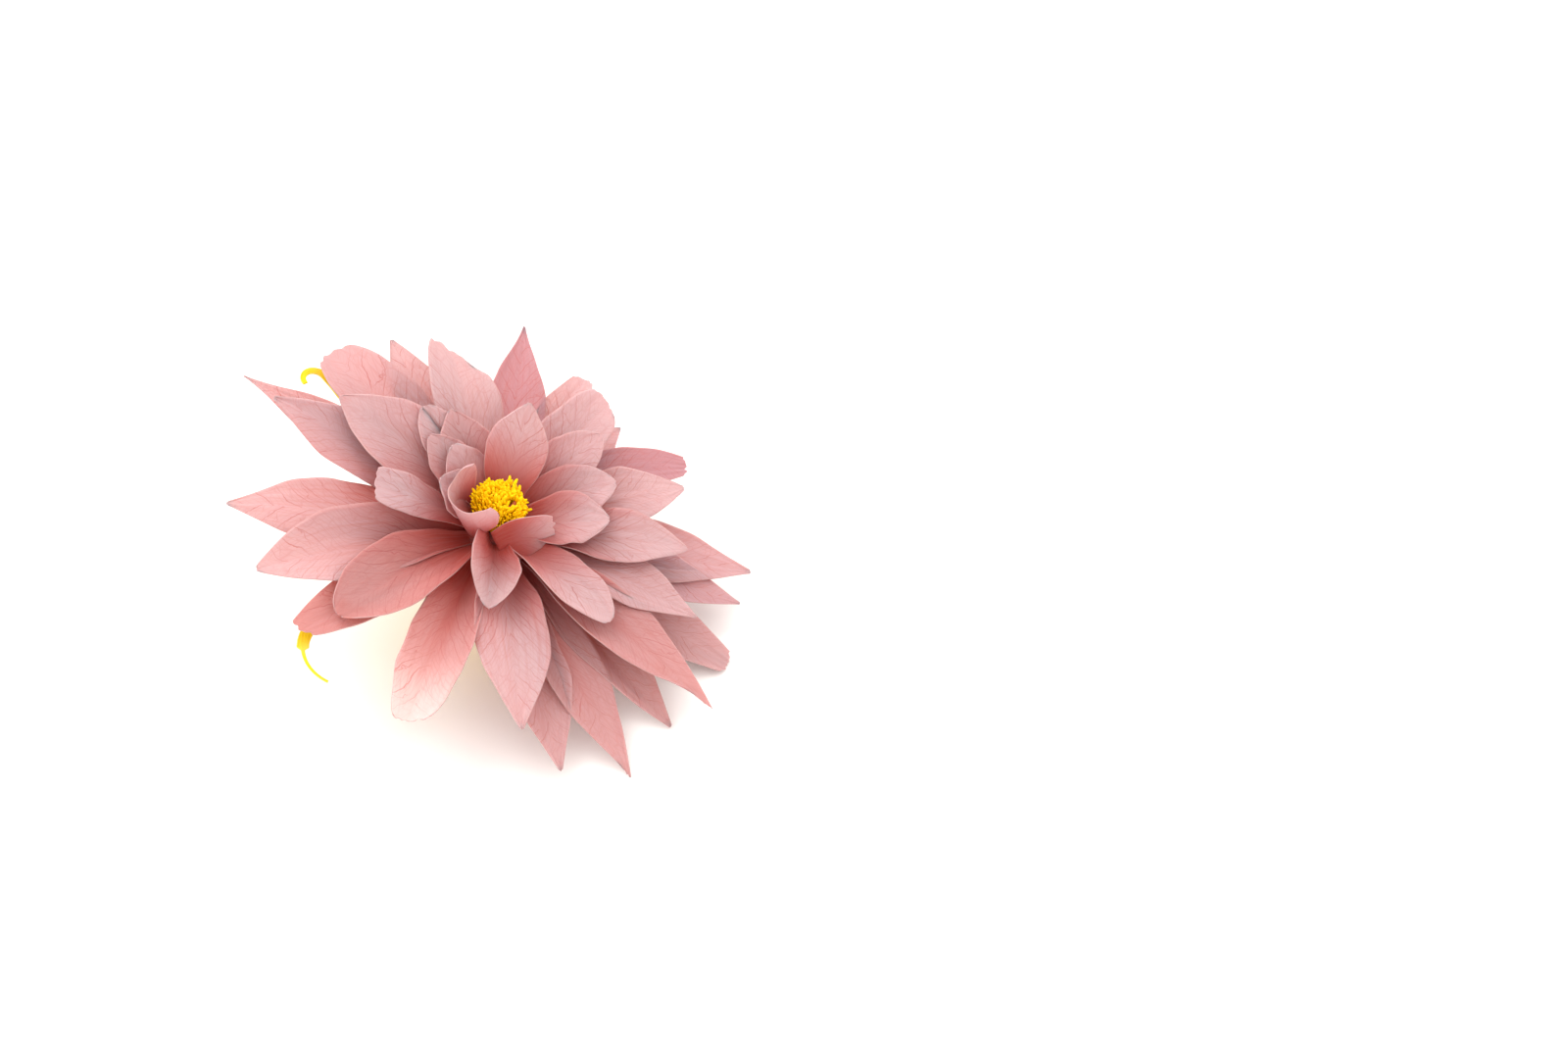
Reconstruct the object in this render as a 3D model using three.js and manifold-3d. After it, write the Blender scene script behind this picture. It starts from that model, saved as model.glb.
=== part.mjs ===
// Preserved dahlia head: pink petals in rings round a rose core, on a dyed yellow calyx with a socket tube.
// Everything is made in the flower's own frame, in millimetres: the axis is +Z and the hub, the middle of
// the calyx top, is the origin. The last section leans the flower and sets it on the surface it rests on.

import * as THREE from 'three';
import Module from 'manifold-3d';
import { mergeVertices } from 'three/addons/utils/BufferGeometryUtils.js';

const wasm = await Module();
wasm.setup();

const { degToRad, clamp } = THREE.MathUtils;

// How the flower lies: its axis leans to the right and towards the viewer
const LEAN = degToRad(16);
const LEAN_HEADING = degToRad(-25);

// Socket tube
const TUBE_OUTER_RADIUS = 3.0;
const TUBE_INNER_RADIUS = 2.35;
const TUBE_TOP = -5.6;
const TUBE_LENGTH = 9.85;
const TUBE_RIM_ROUND = 0.15;
const TUBE_SIDES = 28;

// Clearance between pieces that touch, and the longest edge that is cleaned away after a join
const GAP = 0.3;
const SLIVER = 0.03;

// Calyx: a bowl with the flower's own stalk below it, which fills the tube to its last few millimetres
const BOWL_RADIUS = 5.5;
const BOWL_DEPTH = 5.3;
const STALK_RADIUS = TUBE_INNER_RADIUS - GAP - 0.05;
const STALK_LENGTH = 5.6;
const SEPAL_ROOT_HEIGHT = -1.3;
const SEPAL_ROOT_RADIUS = 3.2;
const SEPAL_WIDEST = 0.24;
const SEPAL_BODY = 0.82;
const SEPAL_ROOT_WIDTH = 0.55;
const SEPAL_ARCH = 14;
const SEPAL_ROOT_ARCH = 20;
const TAIL_TAPERS_FROM = 0.75;
const TAIL_TAPER = 0.55;
const LOBE_LENGTH = 8;
const LOBE_WIDTH = 1.3;
const LOBE_ANGLE = 24;
const LOBE_INSET = 1.2;
const LOBE_DROP = 6;
const LOBE_TURN = 30;

// Petals: the height of each ring's roots above the hub
const PETAL_ROOT_RADIUS = 3;
const RING_HEIGHTS = [1.0, 1.6, 2.3, 3.2, 4.2, 5.2];
const PETAL_CORE_FOOT_RADIUS = 6.1;
const PETAL_CORE_NECK_RADIUS = 4.6;
const PETAL_CORE_HEIGHT = 6.3;
const BLADE_THICKNESS = 0.66;

// Cross section of a petal: the half angle of its channel at the root, the waves and crease of its sides
const LONG_PETAL = 30;
const PETAL_ROOT_WIDTH = 0.28;
const LONG_FORM = { rows: 7, channel: 52, wave: 0.9 };
const SHORT_FORM = { rows: 5, channel: 34, wave: 0.5 };
const HOLLOW = 12;
const TIP_STARTS = 0.6;

// Least and greatest of what a seeded draw varies from petal to petal
const WAVES = [1.2, 2.0];
const WAVE_SHARE = [0.6, 1.0];
const CREASE = [0.05, 0.11];

// Stamens: a golden brush round a small hole, off centre, where the flower's pistils stand
const STAMEN_COUNT = 84;
const STAMEN_SPREAD = 5.4;
const STAMEN_TOP = 13.2;
const STAMEN_SHIFT = -0.5;
const STAMEN_THICKNESS = 0.26;
const STAMEN_UNEVEN = 1.1;
const STAMEN_DOME = 0.9;
const STAMEN_FRONT = -114;
const STAMEN_FRONT_DROP = 2.0;
const STAMEN_KNEE = 0.45;
const STAMEN_BEND = 0.35;
const FILAMENT_TAPER = 0.8;
const ANTHER_SWELL = 1.8;
const ANTHER_STARTS = 0.62;
const ANTHER_WIDEST = 0.84;
const STAMEN_SEAT_RADIUS = 3.7;
const STAMEN_SEAT_TOP = 9.0;
const PISTIL_OFFSET = 2.6;
const PISTIL_RADIUS = 1.25;
const PISTIL_RISE = 1.6;
const PISTIL_UNEVEN = 0.6;
const SEED = 20;

// Outline of a petal past its widest place: where that is, how broad the tip stays and how full the curve is
const TIPS = {
  sharp: { widest: 0.47, end: 0.04, fullness: 1.22 },
  plain: { widest: 0.58, end: 0.05, fullness: 0.95 },
  oval: { widest: 0.6, end: 0.08, fullness: 0.72 },
  round: { widest: 0.62, end: 0.2, fullness: 0.55 },
  cut: { widest: 0.6, end: 0.42, fullness: 0.9 },
  broad: { widest: 0.62, end: 0.5, fullness: 0.6 },
  flared: { widest: 0.88, end: 0.82, fullness: 0.6 },
};
const ROOT_TWIST = 0.8;

// Petals by eye from the photo, ring by ring from the calyx up: heading from the right, lift above the
// flower's plane, length, width, tip, and how much the lift and the heading change from root to tip.
// Left and right curl that edge up or down, fold sharpens the crease, slant cuts the tip obliquely.
const PETAL_RINGS = [
  [
    { heading: -173, lift: 14, length: 49, width: 14, tip: 'plain', droop: 16, sweep: 0, left: -3 },
    { heading: 156, lift: 16, length: 54, width: 12, tip: 'sharp', droop: 14, sweep: 1, left: -2 },
    { heading: 120, lift: 10, length: 45, width: 13, tip: 'plain', droop: 8, sweep: 0 },
    { heading: 85, lift: 12, length: 47.5, width: 13, tip: 'sharp', droop: 10, sweep: 5, fold: 0.08 },
    { heading: 69, lift: 12, length: 40, width: 10, tip: 'cut', droop: 10, sweep: 0, fold: 0.12 },
    { heading: 50, lift: 12, length: 43, width: 11.5, tip: 'cut', droop: 20, sweep: -36, slant: -0.5 },
    { heading: 1, lift: 10, length: 48.5, width: 14, tip: 'plain', droop: 16, sweep: 0, right: -1 },
    { heading: -22, lift: 4.5, length: 49, width: 13, tip: 'cut', droop: 14, sweep: 0 },
    {
      heading: -45, lift: 4, length: 49, width: 11, tip: 'plain', droop: 14, sweep: 3, left: 1.5,
      fold: 0.1,
    },
    { heading: -71, lift: 4, length: 49.5, width: 12.5, tip: 'plain', droop: 14, sweep: 0 },
    {
      heading: -108, lift: 12, length: 47.5, width: 12.5, tip: 'broad', droop: 14, sweep: 7,
      left: 1.2, fold: 0.12, slant: 1,
    },
    { heading: -137, lift: 14, length: 44, width: 12, tip: 'cut', droop: 18, sweep: 0, slant: 1 },
  ],
  [
    { heading: 135, lift: 12, length: 46.5, width: 16, tip: 'broad', droop: 10, sweep: 2, right: 1 },
    { heading: 54, lift: 3, length: 38, width: 11, tip: 'plain', droop: 8, sweep: 0 },
    { heading: -8, lift: 8, length: 47, width: 12, tip: 'plain', droop: 14, sweep: 0 },
    { heading: -60, lift: 4.2, length: 53, width: 12, tip: 'plain', droop: 16, sweep: 4, slant: -1.5 },
    {
      heading: -155, lift: 16, length: 46.5, width: 15, tip: 'oval', droop: 18, sweep: 2,
      left: -1.4, right: 2.5, fold: 0.1,
    },
  ],
  [
    { heading: 159, lift: 20, length: 46.5, width: 14, tip: 'plain', droop: 18, sweep: 1, left: -2.5 },
    { heading: 108, lift: 22, length: 36.5, width: 14, tip: 'broad', droop: 14, sweep: 2, slant: -4 },
    { heading: 58, lift: 25, length: 34.5, width: 13, tip: 'broad', droop: 20, sweep: 0, slant: -1.5 },
    { heading: 20, lift: 23, length: 36.3, width: 13.5, tip: 'oval', droop: 23, sweep: 2 },
    { heading: -22, lift: 20, length: 40.5, width: 12, tip: 'plain', droop: 24, sweep: 0 },
    { heading: -40, lift: 16, length: 51, width: 13, tip: 'plain', droop: 24, sweep: 2, slant: -3 },
    { heading: -81, lift: 16, length: 44.5, width: 14.5, tip: 'plain', droop: 24, sweep: 2 },
    { heading: -136, lift: 20, length: 38, width: 15.5, tip: 'round', droop: 24, sweep: 3, left: 0.8 },
  ],
  [
    { heading: 150, lift: 28, length: 36.5, width: 17, tip: 'oval', droop: 24, sweep: 2 },
    { heading: 131, lift: 34, length: 25, width: 11, tip: 'round', droop: 20, sweep: 0 },
    {
      heading: -5, lift: 26, length: 35, width: 11.5, tip: 'oval', droop: 26, sweep: 2, left: 1,
      right: -1,
    },
    { heading: -45.5, lift: 28, length: 30, width: 11, tip: 'round', droop: 28, sweep: 2, right: 2.2 },
    { heading: -176, lift: 37, length: 24, width: 9.2, tip: 'flared', droop: 24, sweep: 0, left: -1 },
  ],
  [
    { heading: 141, lift: 40, length: 19, width: 10, tip: 'round', droop: 20, sweep: 0 },
    { heading: 121, lift: 36, length: 22, width: 12, tip: 'oval', droop: 20, sweep: 0 },
    { heading: 82, lift: 56, length: 23, width: 12, tip: 'oval', droop: 20, sweep: 0 },
    {
      heading: 47, lift: 34, length: 25.5, width: 10.5, tip: 'round', droop: 22, sweep: 0,
      left: 1.5, right: -2,
    },
    {
      heading: 24, lift: 35, length: 22.5, width: 11.5, tip: 'round', droop: 24, sweep: 0,
      left: 1.4, right: -1.2,
    },
    {
      heading: -1, lift: 37, length: 20, width: 12, tip: 'round', droop: 22, sweep: 0, left: 1.2,
      right: -0.6,
    },
    {
      heading: -91, lift: 26, length: 20.5, width: 10, tip: 'round', droop: 26, sweep: 0, right: 4,
      fold: 0.45,
    },
  ],
  [
    { heading: 136, lift: 46, length: 15, width: 10, tip: 'round', droop: 16, sweep: 0 },
    { heading: 172, lift: 50, length: 13, width: 11, tip: 'round', droop: 16, sweep: 0 },
  ],
];

// The two innermost petals: a deep cup on the left of the stamens and a small trough that runs past
// their front
const INNER_CUPS = [
  {
    place: -155, heading: -160, lift: 60, length: 12.4, width: 22.5, cup: 90, droop: -6, radius: 5.6,
    height: 4.7, twist: 4, rootWidth: 0.3, slant: -2, form: { widest: 0.9, end: 0.9, fullness: 0.8 },
  },
  {
    place: -86, heading: 24, lift: 26, length: 11.5, width: 8.5, cup: 15, droop: 14, radius: 6.9,
    height: 7.4, twist: 66, rootWidth: 0.8, slant: 0, form: { widest: 0.35, end: 0.55, fullness: 0.8 },
  },
];

// Sepals: long pointed leaves under the petals, whose tails hook sideways. Body is the share of the length
// where the blade has narrowed to its tail, which is as wide as tail says. Up to the share torn, a stub of
// the blade goes on at that width. Lobes are thin side shoots.
const SEPALS = [
  { heading: 140.5, lift: 8.5, length: 51.5, width: 11, droop: 0, hook: 170, hookFrom: 0.85, tail: 2.2 },
  { heading: 160, lift: 7, length: 25, width: 11, droop: 8, hook: 30, hookFrom: 0.7, tail: 1.5 },
  {
    heading: -139, lift: 8, length: 54.5, width: 9, droop: 9, hook: 120, hookFrom: 0.69,
    tail: 0.9, body: 0.75, torn: 0.84, stub: 2.4,
  },
  { heading: -103, lift: 6, length: 30, width: 9, droop: 6, hook: -60, hookFrom: 0.75, tail: 1.2 },
  {
    heading: -36, lift: -5, length: 36, width: 12, droop: -2, hook: 50, hookFrom: 0.75, tail: 1.7,
    lobes: 1,
  },
  { heading: 44, lift: -9, length: 40, width: 12, droop: 8, hook: -70, hookFrom: 0.7, tail: 1.7, lobes: 2 },
];

// Small seeded generator, the same draw on every run
function makeRandom(seed) {
  let state = seed;
  return () => {
    state = (state * 1664525 + 1013904223) % 4294967296;
    return state / 4294967296;
  };
}

function solidFrom(positions, triangles) {
  const mesh = new wasm.Mesh({
    numProp: 3,
    vertProperties: new Float32Array(positions),
    triVerts: new Uint32Array(triangles),
  });
  return new wasm.Manifold(mesh);
}

function solidFromGeometry(geometry) {
  const bare = geometry.clone();
  bare.deleteAttribute('normal');
  bare.deleteAttribute('uv');
  const merged = mergeVertices(bare, 1e-4);
  return solidFrom(merged.attributes.position.array, merged.index.array);
}

function joined(solids) {
  return solids.reduce((whole, solid) => whole.add(solid));
}

// The joined solid as a geometry, without the slivers that a join leaves where blades just graze
function geometryFrom(solid) {
  const { vertProperties, triVerts } = solid.simplify(SLIVER).getMesh();
  const geometry = new THREE.BufferGeometry();
  geometry.setAttribute('position', new THREE.BufferAttribute(vertProperties, 3));
  geometry.setIndex(new THREE.BufferAttribute(triVerts, 1));
  geometry.computeVertexNormals();
  return geometry;
}

// A turned solid about the flower's axis, from radius and height pairs that run upwards
function turned(profile, sides) {
  const points = profile.map(([radius, height]) => new THREE.Vector2(radius, height));
  const lathe = new THREE.LatheGeometry(points, sides);
  return lathe.rotateX(Math.PI / 2);
}

function unitAt(lift, heading) {
  return new THREE.Vector3(
    Math.cos(lift) * Math.cos(heading),
    Math.cos(lift) * Math.sin(heading),
    Math.sin(lift),
  );
}

// Points along a blade's midrib, each with the direction it runs in and its two cross directions
function midrib({ root, liftAt, headingAt, length, places }) {
  const FINE_STEPS = 6;
  const point = root.clone();
  return places.map((u, index) => {
    const heading = headingAt(u);
    const along = unitAt(liftAt(u), heading);
    const across = new THREE.Vector3(-Math.sin(heading), Math.cos(heading), 0);
    const up = new THREE.Vector3().crossVectors(along, across);
    const station = { u, point: point.clone(), along, across, up };
    const next = index + 1 < places.length ? places[index + 1] : u;
    const stride = (next - u) / FINE_STEPS;
    for (let part = 0; part < FINE_STEPS; part += 1) {
      const middle = u + (part + 0.5) * stride;
      point.addScaledVector(unitAt(liftAt(middle), headingAt(middle)), length * stride);
    }
    return station;
  });
}

// Shares of a blade's length from root to tip, in even steps
function evenPlaces(steps) {
  return Array.from({ length: steps + 1 }, (_, step) => step / steps);
}

// A thin closed blade: one grid of points on its middle surface, moved half the thickness to both sides.
// Both faces are split into triangles alike, so that they never cross where the blade is waved.
function blade(stations, shapeAt, columns, thickness) {
  const rows = stations.length - 1;
  const grid = stations.map(({ u, point, along, across, up }) => {
    const row = [];
    for (let column = 0; column <= columns; column += 1) {
      const v = (2 * column) / columns - 1;
      const { side, height, back = 0 } = shapeAt(u, v);
      const place = point.clone().addScaledVector(across, side).addScaledVector(up, height);
      row.push(place.addScaledVector(along, -back));
    }
    return row;
  });
  const upper = [];
  const lower = [];
  for (let row = 0; row <= rows; row += 1) {
    for (let column = 0; column <= columns; column += 1) {
      const before = grid[Math.max(row - 1, 0)][column];
      const after = grid[Math.min(row + 1, rows)][column];
      const left = grid[row][Math.max(column - 1, 0)];
      const right = grid[row][Math.min(column + 1, columns)];
      const along = new THREE.Vector3().subVectors(after, before);
      const across = new THREE.Vector3().subVectors(right, left);
      const normal = along.cross(across).normalize();
      upper.push(grid[row][column].clone().addScaledVector(normal, thickness / 2));
      lower.push(grid[row][column].clone().addScaledVector(normal, -thickness / 2));
    }
  }
  const count = upper.length;
  const at = (row, column) => row * (columns + 1) + column;
  const triangles = [];
  for (let row = 0; row < rows; row += 1) {
    for (let column = 0; column < columns; column += 1) {
      const a = at(row, column);
      const b = at(row + 1, column);
      const c = at(row + 1, column + 1);
      const d = at(row, column + 1);
      triangles.push(a, b, c, a, c, d);
      triangles.push(count + a, count + c, count + b, count + a, count + d, count + c);
    }
  }
  const rim = [];
  for (let row = 0; row < rows; row += 1) rim.push(at(row, 0));
  for (let column = 0; column < columns; column += 1) rim.push(at(rows, column));
  for (let row = rows; row > 0; row -= 1) rim.push(at(row, columns));
  for (let column = columns; column > 0; column -= 1) rim.push(at(0, column));
  rim.forEach((here, index) => {
    const next = rim[(index + 1) % rim.length];
    triangles.push(here, count + here, count + next, here, count + next, next);
  });
  return solidFrom([...upper, ...lower].flatMap((corner) => corner.toArray()), triangles);
}

// Share of a petal's full width at u, 0 at the root and 1 at the tip
function petalWidthAt(u, rootWidth, { widest, end, fullness }) {
  if (u < widest) {
    return rootWidth + (1 - rootWidth) * Math.sin((Math.PI / 2) * (u / widest)) ** 1.3;
  }
  const past = (u - widest) / (1 - widest);
  return end + (1 - end) * Math.max(Math.cos((Math.PI / 2) * past), 0) ** fullness;
}

// Place on a blade's cross section that is bent into an arc of the half angle given
function arcAt(halfWidth, v, halfAngle) {
  if (Math.abs(halfAngle) < 1e-3) return { side: halfWidth * v, height: 0 };
  return {
    side: (halfWidth * Math.sin(v * halfAngle)) / halfAngle,
    height: (halfWidth * (1 - Math.cos(v * halfAngle))) / halfAngle,
  };
}

function petal(spec, ringHeight, random) {
  const { heading, lift, length, width, tip, droop, sweep } = spec;
  const { left = 0, right = 0, fold = 0, slant = 0 } = spec;
  const form = length > LONG_PETAL ? LONG_FORM : SHORT_FORM;
  const stations = midrib({
    root: unitAt(0, degToRad(heading)).multiplyScalar(PETAL_ROOT_RADIUS).setZ(ringHeight),
    liftAt: (u) => degToRad(lift - droop * u),
    headingAt: (u) => degToRad(heading + sweep * u),
    length,
    places: evenPlaces(form.rows),
  });
  const between = ([least, greatest]) => least + (greatest - least) * random();
  const waves = between(WAVES);
  const phases = [2 * Math.PI * random(), 2 * Math.PI * random()];
  const waveHeight = form.wave * between(WAVE_SHARE);
  const crease = between(CREASE) + fold;
  return blade(stations, (u, v) => {
    const halfWidth = (width / 2) * petalWidthAt(u, PETAL_ROOT_WIDTH, TIPS[tip]);
    const halfAngle = degToRad(HOLLOW * (1 - 0.5 * u) + form.channel * (1 - u) ** 2);
    const place = arcAt(halfWidth, v, halfAngle);
    const ripple = Math.sin(2 * Math.PI * waves * u + phases[v < 0 ? 0 : 1]);
    const curl = v > 0 ? left : right;
    const swell = Math.sin(Math.PI * u ** 0.8);
    place.height += (waveHeight * ripple * Math.abs(v) ** 1.5 + curl * v * v) * swell;
    place.height += crease * halfWidth * Math.abs(v);
    place.back = slant * v * clamp((u - TIP_STARTS) / (1 - TIP_STARTS), 0, 1) ** 2;
    return place;
  }, 4, BLADE_THICKNESS);
}

function innerCup(spec) {
  const stations = midrib({
    root: unitAt(0, degToRad(spec.place)).multiplyScalar(spec.radius).setZ(spec.height),
    liftAt: (u) => degToRad(spec.lift - spec.droop * u),
    headingAt: () => degToRad(spec.heading),
    length: spec.length,
    places: evenPlaces(6),
  });
  return blade(stations, (u, v) => {
    const halfWidth = (spec.width / 2) * petalWidthAt(u, spec.rootWidth, spec.form);
    const { side, height } = arcAt(halfWidth, v, degToRad(spec.cup));
    const twist = degToRad(spec.twist) * (ROOT_TWIST + (1 - ROOT_TWIST) * u);
    return {
      side: side * Math.cos(twist) - height * Math.sin(twist),
      height: side * Math.sin(twist) + height * Math.cos(twist),
      back: spec.slant * v * u ** 3,
    };
  }, 8, BLADE_THICKNESS);
}

// The bloom: every petal and the short core that the petals are glued round, as one solid
function makePetals() {
  const random = makeRandom(SEED);
  const core = solidFromGeometry(turned([
    [0, GAP],
    [PETAL_CORE_FOOT_RADIUS, GAP],
    [PETAL_CORE_NECK_RADIUS, PETAL_CORE_HEIGHT],
    [0, PETAL_CORE_HEIGHT],
  ], 20));
  const solids = [core];
  PETAL_RINGS.forEach((ring, index) => {
    ring.forEach((spec) => solids.push(petal(spec, RING_HEIGHTS[index], random)));
  });
  INNER_CUPS.forEach((spec) => solids.push(innerCup(spec)));
  return geometryFrom(joined(solids));
}

// One stamen: a thin three-sided stalk with a thicker anther on its end
function stamen(foot, knee, tip, thickness) {
  const rings = [
    { place: foot, radius: thickness },
    { place: knee, radius: thickness * FILAMENT_TAPER },
    { place: new THREE.Vector3().lerpVectors(knee, tip, ANTHER_STARTS), radius: thickness * FILAMENT_TAPER },
    { place: new THREE.Vector3().lerpVectors(knee, tip, ANTHER_WIDEST), radius: thickness * ANTHER_SWELL },
  ];
  const along = new THREE.Vector3().subVectors(tip, foot).normalize();
  const across = new THREE.Vector3(0, 1, 0).cross(along).normalize();
  const other = new THREE.Vector3().crossVectors(along, across);
  const points = [];
  rings.forEach(({ place, radius }) => {
    for (let corner = 0; corner < 3; corner += 1) {
      const angle = (2 * Math.PI * corner) / 3;
      points.push(place.clone()
        .addScaledVector(across, radius * Math.cos(angle))
        .addScaledVector(other, radius * Math.sin(angle)));
    }
  });
  points.push(tip);
  const triangles = [0, 2, 1];
  for (let ring = 0; ring < rings.length - 1; ring += 1) {
    for (let corner = 0; corner < 3; corner += 1) {
      const a = 3 * ring + corner;
      const b = 3 * ring + ((corner + 1) % 3);
      triangles.push(a, b, b + 3, a, b + 3, a + 3);
    }
  }
  const last = 3 * (rings.length - 1);
  const apex = points.length - 1;
  for (let corner = 0; corner < 3; corner += 1) {
    triangles.push(last + corner, last + ((corner + 1) % 3), apex);
  }
  return solidFrom(points.flatMap((place) => place.toArray()), triangles);
}

function makeStamens() {
  const random = makeRandom(SEED + 1);
  const bottom = PETAL_CORE_HEIGHT + GAP;
  const seat = solidFromGeometry(turned([
    [0, bottom],
    [STAMEN_SEAT_RADIUS - 0.5, bottom],
    [STAMEN_SEAT_RADIUS, bottom + 0.9],
    [STAMEN_SEAT_RADIUS, STAMEN_SEAT_TOP - 0.6],
    [STAMEN_SEAT_RADIUS - 0.7, STAMEN_SEAT_TOP],
    [0, STAMEN_SEAT_TOP - 0.4],
  ], 18));
  const solids = [seat];
  const golden = Math.PI * (3 - Math.sqrt(5));
  for (let index = 0; index < STAMEN_COUNT; index += 1) {
    const share = (index + 0.5) / STAMEN_COUNT;
    const angle = index * golden;
    const radius = STAMEN_SPREAD * Math.sqrt(share);
    const tip = new THREE.Vector3(radius * Math.cos(angle), radius * Math.sin(angle), 0);
    const fromPistil = Math.hypot(tip.x - PISTIL_OFFSET, tip.y);
    const front = share * Math.max(0, Math.cos(angle - degToRad(STAMEN_FRONT)));
    if (fromPistil < PISTIL_RADIUS) {
      tip.z = STAMEN_SEAT_TOP + PISTIL_RISE + PISTIL_UNEVEN * random();
    } else {
      tip.z = STAMEN_TOP + STAMEN_UNEVEN * (random() - 0.5);
      tip.z -= STAMEN_DOME * share + STAMEN_FRONT_DROP * front;
    }
    tip.x += STAMEN_SHIFT;
    tip.y += front;
    const footRadius = (STAMEN_SEAT_RADIUS - 0.8) * Math.sqrt(share);
    const foot = new THREE.Vector3(
      footRadius * Math.cos(angle),
      footRadius * Math.sin(angle),
      STAMEN_SEAT_TOP - 1.3,
    );
    const knee = new THREE.Vector3().lerpVectors(foot, tip, STAMEN_KNEE);
    knee.x += STAMEN_BEND * (random() - 0.5);
    knee.y += STAMEN_BEND * (random() - 0.5);
    solids.push(stamen(foot, knee, tip, STAMEN_THICKNESS));
  }
  return geometryFrom(joined(solids));
}

// A sepal's width at u: broad near the root, then drawn out into a thin tail
function sepalWidthAt(u, { width, tail, body = SEPAL_BODY, torn = 0, stub = 0 }) {
  if (u < SEPAL_WIDEST) {
    const swell = Math.sin((Math.PI / 2) * (u / SEPAL_WIDEST));
    return width * (SEPAL_ROOT_WIDTH + (1 - SEPAL_ROOT_WIDTH) * swell);
  }
  const past = clamp((u - SEPAL_WIDEST) / (body - SEPAL_WIDEST), 0, 1);
  const tapered = clamp((u - TAIL_TAPERS_FROM) / (1 - TAIL_TAPERS_FROM), 0, 1);
  const thin = tail * (1 - TAIL_TAPER * tapered);
  const end = u < torn ? stub : thin;
  return end + (width - end) * (0.5 + 0.5 * Math.cos(Math.PI * past));
}

function sepalStations({ heading, lift, length, droop, hook, hookFrom }) {
  const STEPS = 12;
  const hooked = (u) => clamp((u - hookFrom) / (1 - hookFrom), 0, 1);
  return midrib({
    root: unitAt(0, degToRad(heading)).multiplyScalar(SEPAL_ROOT_RADIUS).setZ(SEPAL_ROOT_HEIGHT),
    liftAt: (u) => degToRad(lift - droop * u),
    headingAt: (u) => degToRad(heading + hook * hooked(u)),
    length,
    places: evenPlaces(STEPS).map((share) => Math.sin((Math.PI / 2) * share)),
  });
}

// A thin side shoot that leaves a sepal's edge and points on towards its tip
function lobe(stations, row, side, spec) {
  const start = stations[row];
  const edge = sepalWidthAt(start.u, spec) / 2;
  const out = start.point.clone().addScaledVector(start.across, side * (edge - LOBE_INSET));
  const run = new THREE.Vector3().subVectors(stations[row + 1].point, start.point);
  const heading = Math.atan2(run.y, run.x) + side * degToRad(LOBE_ANGLE);
  const lift = Math.atan2(run.z, Math.hypot(run.x, run.y));
  const shoot = midrib({
    root: out,
    liftAt: () => lift - degToRad(LOBE_DROP),
    headingAt: (u) => heading - side * degToRad(LOBE_TURN) * u,
    length: LOBE_LENGTH,
    places: evenPlaces(4),
  });
  const shapeAt = (u, v) => ({ side: (LOBE_WIDTH / 2) * (1 - 0.75 * u) * v, height: 0 });
  return blade(shoot, shapeAt, 1, BLADE_THICKNESS);
}

function sepal(spec) {
  const stations = sepalStations(spec);
  const body = blade(stations, (u, v) => {
    const halfAngle = -degToRad(SEPAL_ARCH * (1 - u) + SEPAL_ROOT_ARCH * (1 - u) ** 3);
    return arcAt(sepalWidthAt(u, spec) / 2, v, halfAngle);
  }, 4, BLADE_THICKNESS);
  const solids = [body];
  if (spec.lobes > 0) solids.push(lobe(stations, 4, 1, spec));
  if (spec.lobes > 1) solids.push(lobe(stations, 3, -1, spec));
  return joined(solids);
}

function makeCalyx() {
  const bowl = solidFromGeometry(turned([
    [0, -BOWL_DEPTH - STALK_LENGTH],
    [STALK_RADIUS, -BOWL_DEPTH - STALK_LENGTH],
    [STALK_RADIUS, -BOWL_DEPTH],
    [TUBE_OUTER_RADIUS + 0.1, -BOWL_DEPTH],
    [BOWL_RADIUS - 1.3, -BOWL_DEPTH + 1.0],
    [BOWL_RADIUS - 0.4, -BOWL_DEPTH + 2.6],
    [BOWL_RADIUS, -1.4],
    [BOWL_RADIUS - 0.2, 0],
    [0, 0],
  ], 24));
  return geometryFrom(joined([bowl, ...SEPALS.map(sepal)]));
}

function makeTube() {
  const bottom = TUBE_TOP - TUBE_LENGTH;
  return turned([
    [TUBE_INNER_RADIUS, bottom + TUBE_RIM_ROUND],
    [TUBE_INNER_RADIUS + TUBE_RIM_ROUND, bottom],
    [TUBE_OUTER_RADIUS - TUBE_RIM_ROUND, bottom],
    [TUBE_OUTER_RADIUS, bottom + TUBE_RIM_ROUND],
    [TUBE_OUTER_RADIUS, TUBE_TOP - TUBE_RIM_ROUND],
    [TUBE_OUTER_RADIUS - TUBE_RIM_ROUND, TUBE_TOP],
    [TUBE_INNER_RADIUS + TUBE_RIM_ROUND, TUBE_TOP],
    [TUBE_INNER_RADIUS, TUBE_TOP - TUBE_RIM_ROUND],
    [TUBE_INNER_RADIUS, bottom + TUBE_RIM_ROUND],
  ], TUBE_SIDES);
}

function named(name, geometry, color, roughness) {
  const mesh = new THREE.Mesh(geometry, new THREE.MeshStandardMaterial({ color, roughness, metalness: 0 }));
  mesh.name = name;
  return mesh;
}

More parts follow.
